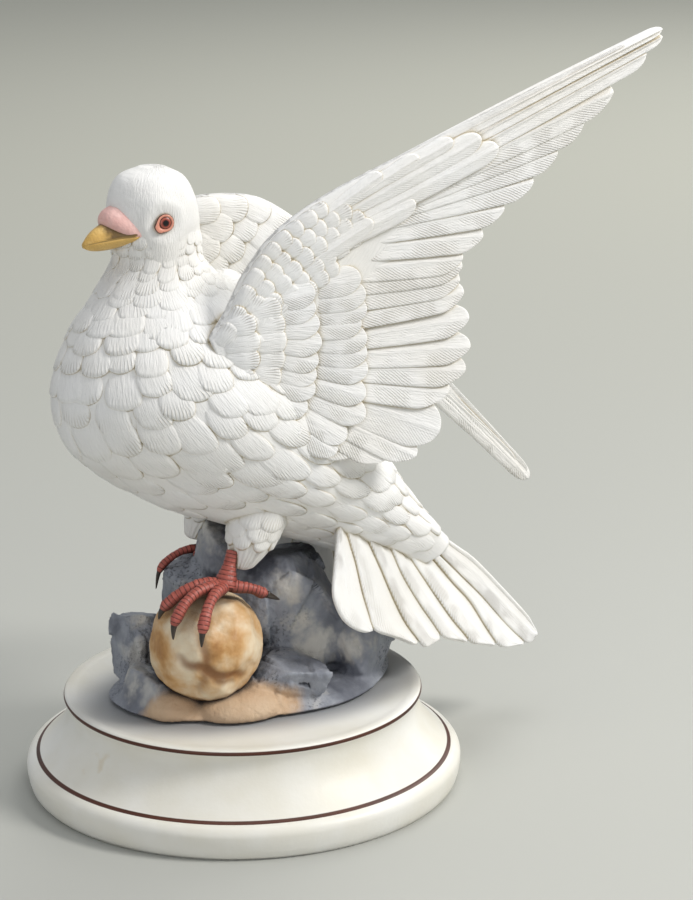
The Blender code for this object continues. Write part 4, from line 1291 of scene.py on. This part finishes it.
def paintedRock():
    # bisque painted with thin washes: blue-grey smeared over white and wiped back on the high
    # faces, stippled where the brush was dry, nearly black in the clefts, partly wash pooled
    # there and partly painted shade from the occlusion, ochre sand in front
    material, tree, shader = startMaterial("paintedRock", {"Roughness": 0.6,
                                                            "Specular IOR Level": 0.35})
    coords = addNode(tree, "TexCoord").outputs["Object"]
    slant = addNode(tree, "Mapping", {0: coords, 2: (0.5, 0.3, 0.2), 3: (1.0, 1.0, 0.75)})
    wide = addNode(tree, "TexNoise", {"Vector": slant.outputs[0], "Scale": 46.0, "Detail": 4.0,
                                      "Roughness": 0.6, "Distortion": 0.25})
    other = addNode(tree, "TexNoise", {"Vector": slant.outputs[0], "Scale": 27.0, "Detail": 3.0,
                                       "Distortion": 0.2})
    fine = addNode(tree, "TexNoise", {"Vector": slant.outputs[0], "Scale": 260.0,
                                      "Detail": 4.0})
    dust = addNode(tree, "TexNoise", {"Vector": coords, "Scale": 800.0, "Detail": 2.0})
    reach = {}
    brushed = addNode(tree, "Math", {0: fine.outputs["Fac"], 1: 0.45}, operation="MULTIPLY")
    smeared = addNode(tree, "Math", {0: wide.outputs["Fac"], 1: 0.75, 2: brushed.outputs[0]},
                      operation="MULTIPLY_ADD").outputs[0]
    for kind in ("wiped", "pooled"):
        reach[kind] = None
        for x, y, z, size in rock[kind]:
            off = addNode(tree, "VectorMath", {0: coords, 1: (x / 1000, y / 1000, z / 1000)},
                          operation="DISTANCE")
            torn = addNode(tree, "Math", {0: smeared, 1: 0.030, 2: off.outputs["Value"]},
                           operation="MULTIPLY_ADD")
            inside = addNode(tree, "MapRange", {0: torn.outputs[0], 1: size / 2000 + 0.015,
                                                2: size / 850 + 0.019, 3: 0.85, 4: 0.0},
                             interpolation_type="SMOOTHSTEP").outputs[0]
            if reach[kind]:
                inside = addNode(tree, "Math", {0: inside, 1: reach[kind]},
                                 operation="MAXIMUM").outputs[0]
            reach[kind] = inside
    stray = addNode(tree, "MapRange", {0: wide.outputs["Fac"], 1: 0.56, 2: 0.72, 3: 0.0,
                                       4: 0.55}, interpolation_type="SMOOTHSTEP")
    wiped = addNode(tree, "Math", {0: reach["wiped"], 1: stray.outputs[0]},
                    operation="MAXIMUM")
    grey = addNode(tree, "Mix", {0: fine.outputs["Fac"], 6: toLinear("#70747F"),
                                 7: toLinear("#A8ACB3")}, data_type="RGBA")
    blotch = addNode(tree, "MapRange", {0: other.outputs["Fac"], 1: 0.34, 2: 0.5, 3: 0.6,
                                        4: 0.0}, interpolation_type="SMOOTHSTEP")
    inky = addNode(tree, "Math", {0: reach["pooled"], 1: blotch.outputs[0]},
                   operation="MAXIMUM")
    washed = addNode(tree, "Mix", {0: inky.outputs[0], 6: grey.outputs[2],
                                   7: toLinear("#454853")}, data_type="RGBA")
    # the wiped faces, a warmer and a cooler pale
    warm = addNode(tree, "Mix", {0: other.outputs["Fac"], 6: toLinear("#DBDBD8"),
                                 7: toLinear("#C4BBAA")}, data_type="RGBA")
    pale = addNode(tree, "Mix", {0: wiped.outputs[0], 6: washed.outputs[2],
                                 7: warm.outputs[2]}, data_type="RGBA")
    stipple = addNode(tree, "MapRange", {0: dust.outputs["Fac"], 1: 0.55, 2: 0.62})
    patch = addNode(tree, "MapRange", {0: other.outputs["Fac"], 1: 0.52, 2: 0.6})
    dotted = addNode(tree, "Math", {0: stipple.outputs[0], 1: patch.outputs[0]},
                     operation="MULTIPLY")
    dots = addNode(tree, "Math", {0: dotted.outputs[0], 1: 0.6}, operation="MULTIPLY")
    speckled = addNode(tree, "Mix", {0: dots.outputs[0], 6: pale.outputs[2],
                                     7: toLinear("#2E3138")}, data_type="RGBA")
    # sand: low and in front of the stone
    near = addNode(tree, "VectorMath", {0: coords, 1: rock["sandPaint"]},
                   operation="SUBTRACT")
    flat = addNode(tree, "VectorMath", {0: near.outputs[0], 1: (40.0, 22.0, 75.0)},
                   operation="MULTIPLY")
    away = addNode(tree, "VectorMath", {0: flat.outputs[0]}, operation="LENGTH")
    ragged = addNode(tree, "Math", {0: wide.outputs["Fac"], 1: 0.7, 2: away.outputs["Value"]},
                     operation="MULTIPLY_ADD")
    sandy = addNode(tree, "MapRange", {0: ragged.outputs[0], 1: 1.15, 2: 1.42, 3: 0.95, 4: 0.0},
                    interpolation_type="SMOOTHSTEP")
    sand = addNode(tree, "Mix", {0: wide.outputs["Fac"], 6: toLinear("#B58B62"),
                                 7: toLinear("#D6C0A3")}, data_type="RGBA")
    ground = addNode(tree, "Mix", {0: sandy.outputs[0], 6: speckled.outputs[2],
                                   7: sand.outputs[2]}, data_type="RGBA")
    # painted shade: the clefts and hollows the occlusion finds go nearly black, faded out near
    # the foot
    shelter = addNode(tree, "AmbientOcclusion", {"Distance": 0.012}, samples=8)
    dark = addNode(tree, "MapRange", {0: shelter.outputs["AO"], 1: 0.22, 2: 0.64, 3: 0.92,
                                      4: 0.0}, interpolation_type="SMOOTHSTEP")
    spot = addNode(tree, "SeparateXYZ", {0: coords})
    above = addNode(tree, "MapRange", {0: spot.outputs[2], 1: 0.0405, 2: 0.0450, 3: 0.15})
    deep = addNode(tree, "Math", {0: dark.outputs[0], 1: above.outputs[0]},
                   operation="MULTIPLY")
    colour = addNode(tree, "Mix", {0: deep.outputs[0], 6: ground.outputs[2],
                                   7: toLinear("#1E2026")}, data_type="RGBA")
    # a brown-grey line is painted round the rock's foot, where it meets the disc
    footLine = addNode(tree, "MapRange", {0: spot.outputs[2], 1: 0.0394, 2: 0.0408, 3: 0.5,
                                          4: 0.0}, interpolation_type="SMOOTHSTEP")
    edged = addNode(tree, "Mix", {0: footLine.outputs[0], 6: colour.outputs[2],
                                  7: toLinear("#5E5248")}, data_type="RGBA")
    tree.links.new(edged.outputs[2], shader.inputs["Base Color"])
    grain = addNode(tree, "Math", {0: dust.outputs["Fac"], 1: 0.0003}, operation="MULTIPLY")
    height = addNode(tree, "Math", {0: fine.outputs["Fac"], 1: 0.0010, 2: grain.outputs[0]},
                     operation="MULTIPLY_ADD")
    bump = addNode(tree, "Bump", {"Strength": 0.8, "Distance": 1.0,
                                  "Height": height.outputs[0]})
    tree.links.new(bump.outputs[0], shader.inputs["Normal"])
    return material


def ochreStone():
    # bisque under ochre and cream washes, umber run into the creases, and painted shade in
    # umber round the foot and in the hollows
    material, tree, shader = startMaterial("ochreStone", {"Roughness": 0.5})
    coords = addNode(tree, "TexCoord").outputs["Object"]
    flow = addNode(tree, "Attribute", attribute_name="flow").outputs["Vector"]
    deep = addNode(tree, "SeparateXYZ", {0: flow})
    wide = addNode(tree, "TexNoise", {"Vector": coords, "Scale": 62.0, "Detail": 4.0,
                                      "Roughness": 0.5, "Distortion": 0.2})
    fine = addNode(tree, "TexNoise", {"Vector": coords, "Scale": 380.0, "Detail": 4.0})
    washed = addNode(tree, "MapRange", {0: wide.outputs["Fac"], 1: 0.36, 2: 0.66},
                     interpolation_type="SMOOTHSTEP")
    base = addNode(tree, "Mix", {0: washed.outputs[0], 6: toLinear("#C6985F"),
                                 7: toLinear("#EADFC6")}, data_type="RGBA")
    rusty = addNode(tree, "MapRange", {0: wide.outputs["Fac"], 1: 0.30, 2: 0.47, 3: 0.8,
                                       4: 0.0}, interpolation_type="SMOOTHSTEP")
    rusted = addNode(tree, "Mix", {0: rusty.outputs[0], 6: base.outputs[2],
                                   7: toLinear("#8C5524")}, data_type="RGBA")
    speck = addNode(tree, "Math", {0: fine.outputs["Fac"], 1: 0.45}, operation="MULTIPLY")
    mottled = addNode(tree, "Mix", {0: speck.outputs[0], 6: rusted.outputs[2],
                                    7: toLinear("#D3A565")}, data_type="RGBA")
    crease = addNode(tree, "MapRange", {0: deep.outputs[0], 1: 0.1, 2: 0.75, 3: 0.0,
                                        4: 0.9}, interpolation_type="SMOOTHSTEP")
    colour = addNode(tree, "Mix", {0: crease.outputs[0], 6: mottled.outputs[2],
                                   7: toLinear("#7E5026")}, data_type="RGBA")
    # painted shade: occlusion darkens the stone towards umber round its foot and in the hollows
    shelter = addNode(tree, "AmbientOcclusion", {"Distance": 0.010}, samples=8)
    dark = addNode(tree, "MapRange", {0: shelter.outputs["AO"], 1: 0.3, 2: 0.8, 3: 0.8,
                                      4: 0.0}, interpolation_type="SMOOTHSTEP")
    final = addNode(tree, "Mix", {0: dark.outputs[0], 6: colour.outputs[2],
                                  7: toLinear("#57381C")}, data_type="RGBA")
    tree.links.new(final.outputs[2], shader.inputs["Base Color"])
    bump = addNode(tree, "Bump", {"Strength": 0.35, "Distance": 0.0008,
                                  "Height": fine.outputs["Fac"]})
    tree.links.new(bump.outputs[0], shader.inputs["Normal"])
    return material


paints = {
    # enamels brushed thin over cast skin and horn and fired low, so they stay half matt:
    # pale, main and dark colour, the joints' pitch in mm, roughness, and the shade's reach in
    # metres, which keeps the folds dark
    "coralSkin": ("#BC6A5C", "#9A4237", "#35150F", legs["scutePitch"], 0.45, 0.004),
    "darkHorn": ("#4A4038", "#1F1B18", "#0E0C0B", 0, 0.3, 0.002),
    "rosySkin": ("#F3D2CB", "#E2A79D", "#B98479", 0, 0.5, 0.0022),
    "ochreHorn": ("#E8C67C", "#CB9B45", "#6B5126", 0, 0.42, 0.002),
}


def paintedSkin(name, pale, main, dark, pitch, rough, deep):
    # paint on bisque over moulded skin: main colour, paler on the ridges, dark in the joints;
    # darker on the sides that turn under and in the folds as painted shade
    material, tree, shader = startMaterial(name, {"Roughness": rough})
    coords = addNode(tree, "TexCoord").outputs["Object"]
    flow = addNode(tree, "Attribute", attribute_name="flow").outputs["Vector"]
    parts = addNode(tree, "SeparateXYZ", {0: flow})
    fine = addNode(tree, "TexNoise", {"Vector": coords, "Scale": 900.0, "Detail": 3.0})
    wide = addNode(tree, "TexNoise", {"Vector": coords, "Scale": 170.0, "Detail": 3.0})
    mixed = addNode(tree, "Mix", {0: wide.outputs["Fac"], 6: toLinear(main),
                                  7: toLinear(pale)}, data_type="RGBA")
    colour = mixed
    if pitch:
        beat = addNode(tree, "Math", {0: parts.outputs[1], 1: math.pi / pitch},
                       operation="MULTIPLY")
        wave = addNode(tree, "Math", {0: beat.outputs[0]}, operation="SINE")
        flat = addNode(tree, "Math", {0: wave.outputs[0]}, operation="ABSOLUTE")
        shaky = addNode(tree, "Math", {0: fine.outputs["Fac"], 1: 0.7, 2: flat.outputs[0]},
                        operation="MULTIPLY_ADD")
        joint = addNode(tree, "MapRange", {0: shaky.outputs[0], 1: 0.45, 2: 0.85, 3: 0.8,
                                           4: 0.0}, interpolation_type="SMOOTHSTEP")
        jointed = addNode(tree, "Mix", {0: joint.outputs[0], 6: mixed.outputs[2],
                                        7: toLinear(dark)}, data_type="RGBA")
        # painted shade: the sides that turn under go dark
        under = addNode(tree, "MapRange", {0: parts.outputs[2], 1: 0.2, 2: 0.75, 3: 0.7,
                                           4: 0.0}, interpolation_type="SMOOTHSTEP")
        colour = addNode(tree, "Mix", {0: under.outputs[0], 6: jointed.outputs[2],
                                       7: toLinear(dark)}, data_type="RGBA")
    # painted shade: sheltered folds go dark
    shelter = addNode(tree, "AmbientOcclusion", {"Distance": deep}, samples=8)
    sheltered = addNode(tree, "MapRange", {0: shelter.outputs["AO"], 1: 0.25, 2: 0.8, 3: 0.85,
                                           4: 0.0}, interpolation_type="SMOOTHSTEP")
    final = addNode(tree, "Mix", {0: sheltered.outputs[0], 6: colour.outputs[2],
                                  7: toLinear(dark)}, data_type="RGBA")
    tree.links.new(final.outputs[2], shader.inputs["Base Color"])
    bump = addNode(tree, "Bump", {"Strength": 0.5, "Distance": 0.0006,
                                  "Height": fine.outputs["Fac"]})
    tree.links.new(bump.outputs[0], shader.inputs["Normal"])
    return material


def paintedBill():
    # cast bisque in ochre enamel, umber dragged along the mouth line and over the ridge
    # where it meets the cere
    material = paintedSkin("ochreHorn", *paints["ochreHorn"])
    tree = material.node_tree
    shader = tree.nodes["Principled BSDF"]
    below = shader.inputs["Base Color"].links[0].from_socket
    coords = addNode(tree, "TexCoord").outputs["Object"]
    flow = addNode(tree, "Attribute", attribute_name="flow").outputs["Vector"]
    parts = addNode(tree, "SeparateXYZ", {0: flow})
    drag = addNode(tree, "TexNoise", {"Vector": coords, "Scale": 420.0, "Detail": 3.0})
    mouth = addNode(tree, "Math", {0: parts.outputs[0]}, operation="ABSOLUTE")
    line = addNode(tree, "MapRange", {0: mouth.outputs[0], 1: 0.02, 2: 0.13, 3: 0.5, 4: 0.0},
                   interpolation_type="SMOOTHSTEP")
    shaky = addNode(tree, "Math", {0: drag.outputs["Fac"], 1: 0.16, 2: parts.outputs[1]},
                    operation="MULTIPLY_ADD")
    root = addNode(tree, "MapRange", {0: shaky.outputs[0], 1: 0.62, 2: 0.77, 3: 0.9, 4: 0.0},
                   interpolation_type="SMOOTHSTEP")
    above = addNode(tree, "MapRange", {0: parts.outputs[0], 1: -0.1, 2: 0.2})
    ridge = addNode(tree, "Math", {0: root.outputs[0], 1: above.outputs[0]},
                    operation="MULTIPLY")
    both = addNode(tree, "Math", {0: line.outputs[0], 1: ridge.outputs[0]},
                   operation="MAXIMUM")
    umber = addNode(tree, "Mix", {0: both.outputs[0], 6: below,
                                  7: toLinear("#5B4526")}, data_type="RGBA")
    tree.links.new(umber.outputs[2], shader.inputs["Base Color"])
    return material


def paintedEye():
    # enamel, painted from the middle out: black pupil, red-brown iris, a dark line, the
    # orange-pink lid and a thin dark outline
    material, tree, shader = startMaterial("paintedEye", {"Roughness": 0.34})
    coords = addNode(tree, "TexCoord").outputs["Object"]
    flow = addNode(tree, "Attribute", attribute_name="flow").outputs["Vector"]
    radius = addNode(tree, "SeparateXYZ", {0: flow}).outputs[0]
    speck = addNode(tree, "TexNoise", {"Vector": coords, "Scale": 1500.0, "Detail": 2.0})
    shaky = addNode(tree, "Math", {0: speck.outputs["Fac"], 1: 0.2, 2: radius},
                    operation="MULTIPLY_ADD")
    bands = ((1.08, 0.15, "#110E0E", "#0C0A0B"), (1.42, 0.2, "#6E2A22", "#8B3A2E"),
             (1.98, 0.25, "#B0604C", "#97493B"), (6.0, 1.0, "#31130F", "#4A1E17"),
             (10.34, 0.08, "#E3A38C", "#D58A73"), (30.0, 1.0, "#4A2A24", "#5E3A32"))
    colour = None
    last = 0.0
    for end, soft, first, second in bands:
        band = addNode(tree, "Mix", {0: speck.outputs["Fac"], 6: toLinear(first),
                                     7: toLinear(second)}, data_type="RGBA")
        if colour is None:
            colour = band
        else:
            beyond = addNode(tree, "MapRange", {0: shaky.outputs[0], 1: last, 2: last + gap})
            colour = addNode(tree, "Mix", {0: beyond.outputs[0], 6: colour.outputs[2],
                                           7: band.outputs[2]}, data_type="RGBA")
        last, gap = end + 0.1, soft
    tree.links.new(colour.outputs[2], shader.inputs["Base Color"])
    return material


# plinth
plinth = {
    "foot": 90.0, "height": 39.5, "rim": 73.9, "waist": 71.4, "band": 14.0,
    "rimRound": 1.6, "rimLip": 1.8, "footRound": 4.5, "turns": 160,
    # the painted lines: the upper one's height on the rim, the lower one's radius, half width
    "upperLine": 0.0381, "lowerLine": 0.0852, "lineHalf": 0.00068,
    "stain": (0.018, -0.076, 0.029),
}


def arcPoints(cx, cz, radius, start, end, steps):
    # start and end in degrees, 0 pointing outwards and 90 up
    angles = np.radians(np.linspace(start, end, steps))
    return [(cx + radius * math.cos(a), cz + radius * math.sin(a)) for a in angles]


def plinthProfile():
    p = plinth
    top = p["height"]
    # the top is dished a hair inside a soft bead that runs round near the rim
    outline = [(0.0, top - 0.6), (40.0, top - 0.6), (64.0, top - 0.6), (67.5, top - 0.55),
               (69.0, top - 0.3), (70.0, top - 0.05), (71.0, top)]
    outline += arcPoints(p["rim"] - p["rimRound"], top - p["rimRound"], p["rimRound"], 80, 0, 7)
    sweepTop = top - 1.8 * p["rimRound"]
    shoulder = p["foot"] - p["footRound"]
    for f in np.linspace(0, 1, 28):
        drop = sweepTop - (sweepTop - p["band"]) * f
        outline.append((p["waist"] + p["rimLip"] * (1 - f) ** 7
                        + (shoulder - p["waist"]) * f ** 2, drop))
    outline += arcPoints(shoulder, p["band"] - p["footRound"], p["footRound"], 80, 0, 10)
    outline += [(p["foot"] - 0.1, 7.0), (p["foot"] - 0.6, 4.0), (p["foot"] - 1.3, 1.6),
                (p["foot"] - 2.7, 0.0)]
    # the foot ring it stands on, and the shallow hollow inside it
    outline += [(p["foot"] - 9.0, 0.0), (p["foot"] - 10.5, 1.2), (40.0, 1.6), (0.0, 1.6)]
    return outline


def makePlinth():
    # turned: the profile is spun round the middle
    profile = np.array([(x, 0.0, z) for x, z in plinthProfile()]) * 0.001
    bpy.ops.object.select_all(action="DESELECT")
    bpy.ops.mesh.primitive_circle_add(vertices=len(profile), radius=1)
    turned = bpy.context.object
    turned.name = "turnedPlinth"
    writePoints(turned, profile)
    bpy.ops.object.mode_set(mode="EDIT")
    bpy.ops.mesh.select_mode(type="EDGE")
    bpy.ops.mesh.select_all(action="DESELECT")
    bpy.ops.object.mode_set(mode="OBJECT")
    # the closing edge down the axis comes out before the spin
    for edge in turned.data.edges:
        edge.select = {edge.vertices[0], edge.vertices[1]} == {0, len(profile) - 1}
    bpy.ops.object.mode_set(mode="EDIT")
    bpy.ops.mesh.delete(type="EDGE")
    bpy.ops.mesh.select_mode(type="VERT")
    bpy.ops.mesh.select_all(action="SELECT")
    bpy.ops.mesh.spin(steps=plinth["turns"], angle=2 * math.pi, center=(0, 0, 0),
                      axis=(0, 0, 1))
    bpy.ops.object.mode_set(mode="OBJECT")
    weld(turned, 0.00001)
    return turned


def ivoryPorcelain():
    # plinth: bisque with a thin satin ivory wash, two hand-banded rust-brown lines, and a
    # grey airbrushed bloom round the rock
    material, tree, shader = startMaterial("ivoryPorcelain", {"Roughness": 0.42, "IOR": 1.5})
    coords = addNode(tree, "TexCoord").outputs["Object"]
    spot = addNode(tree, "SeparateXYZ", {0: coords})
    ring = addNode(tree, "VectorMath", {0: coords, 1: (1.0, 1.0, 0.0)}, operation="MULTIPLY")
    radius = addNode(tree, "VectorMath", {0: ring.outputs[0]}, operation="LENGTH")
    cloud = addNode(tree, "TexNoise", {"Vector": coords, "Scale": 26.0, "Detail": 4.0})
    clouded = addNode(tree, "MapRange", {0: cloud.outputs["Fac"], 1: 0.35, 2: 0.68})
    ivory = addNode(tree, "Mix", {0: clouded.outputs[0], 6: toLinear("#EDECE6"),
                                  7: toLinear("#E2DED0")}, data_type="RGBA")
    # airbrushed bloom: strongest at the rock's foot, gone 20 mm out
    near = addNode(tree, "VectorMath", {0: coords, 1: (0.002, 0.0045, 0.0)},
                   operation="SUBTRACT")
    oval = addNode(tree, "VectorMath", {0: near.outputs[0], 1: (24.4, 15.9, 0.0)},
                   operation="MULTIPLY")
    ovalRadius = addNode(tree, "VectorMath", {0: oval.outputs[0]}, operation="LENGTH")
    bloom = addNode(tree, "MapRange", {0: ovalRadius.outputs["Value"], 1: 0.98, 2: 1.42,
                                       3: 0.78, 4: 0.0}, interpolation_type="SMOOTHSTEP")
    onTop = addNode(tree, "MapRange", {0: spot.outputs[2], 1: 0.0383, 2: 0.0387})
    bloomed = addNode(tree, "Math", {0: bloom.outputs[0], 1: onTop.outputs[0]},
                      operation="MULTIPLY")
    shaded = addNode(tree, "Mix", {0: bloomed.outputs[0], 6: ivory.outputs[2],
                                   7: toLinear("#7B7F87")}, data_type="RGBA")
    # yellow-brown stain on the left of the sweep
    stainAway = addNode(tree, "VectorMath", {0: coords, 1: plinth["stain"]},
                        operation="DISTANCE")
    stainNoise = addNode(tree, "TexNoise", {"Vector": coords, "Scale": 130.0, "Detail": 2.0})
    stainEdge = addNode(tree, "Math", {0: stainNoise.outputs["Fac"], 1: 0.02,
                                       2: stainAway.outputs["Value"]},
                        operation="MULTIPLY_ADD")
    stain = addNode(tree, "MapRange", {0: stainEdge.outputs[0], 1: 0.013, 2: 0.0175, 3: 0.4,
                                       4: 0.0}, interpolation_type="SMOOTHSTEP")
    stained = addNode(tree, "Mix", {0: stain.outputs[0], 6: shaded.outputs[2],
                                    7: toLinear("#CDB98E")}, data_type="RGBA")
    # the two lines, each kept to its own face
    rust = addNode(tree, "Mix", {0: clouded.outputs[0], 6: toLinear("#3E1B0C"),
                                 7: toLinear("#552813")}, data_type="RGBA")
    colour = stained
    for measure, place, limit, fromValue, toValue in (
            (radius.outputs["Value"], plinth["lowerLine"], spot.outputs[2], 0.0110, 0.0112),
            (spot.outputs[2], plinth["upperLine"], radius.outputs["Value"], 0.0705, 0.0707)):
        off = addNode(tree, "Math", {0: measure, 1: place}, operation="SUBTRACT")
        flat = addNode(tree, "Math", {0: off.outputs[0]}, operation="ABSOLUTE")
        band = addNode(tree, "MapRange", {0: flat.outputs[0], 1: plinth["lineHalf"],
                                          2: plinth["lineHalf"] * 1.3, 3: 1.0, 4: 0.0})
        kept = addNode(tree, "MapRange", {0: limit, 1: fromValue, 2: toValue})
        painted = addNode(tree, "Math", {0: band.outputs[0], 1: kept.outputs[0]},
                          operation="MULTIPLY")
        colour = addNode(tree, "Mix", {0: painted.outputs[0], 6: colour.outputs[2],
                                       7: rust.outputs[2]}, data_type="RGBA")
    tree.links.new(colour.outputs[2], shader.inputs["Base Color"])
    fine = addNode(tree, "TexNoise", {"Vector": coords, "Scale": 500.0, "Detail": 2.0})
    bump = addNode(tree, "Bump", {"Strength": 0.12, "Distance": 0.0005,
                                  "Height": fine.outputs["Fac"]})
    tree.links.new(bump.outputs[0], shader.inputs["Normal"])
    return material


# putting it together
dress(makePlinth(), ivoryPorcelain(), "plinth", "plinth")
print("plinth")

dress(makeRock(), paintedRock(), "bisque")
dress(makeBall(), ochreStone(), "bisque")
print("rock and stone")

dress(makeBody(), bisque, "bisque", "dove_on_rock")
dress(makePlumage(), bisque, "bisque")
print("body and plumage")

for makePart in (makeNearWing, makeFarWing, makeTail):
    dress(makePart(), bisque, "bisque")
print("wings and tail")

coral, horn, rosySkin = (paintedSkin(name, *paints[name])
                         for name in ("coralSkin", "darkHorn", "rosySkin"))
eyePaint = paintedEye()
for side in (1.0, -1.0):
    foot, claws = makeFoot(side)
    dress(foot, coral, "bisque")
    dress(claws, horn, "bisque")
    dress(makeThigh(side), bisque, "bisque")
    dress(makeEye(side), eyePaint, "bisque")
dress(makeBill(), paintedBill(), "bisque")
dress(makeCere(), rosySkin, "bisque")
print("legs, bill and eyes")

for blank in (bladeBlank, domeBlank):
    bpy.data.objects.remove(blank)
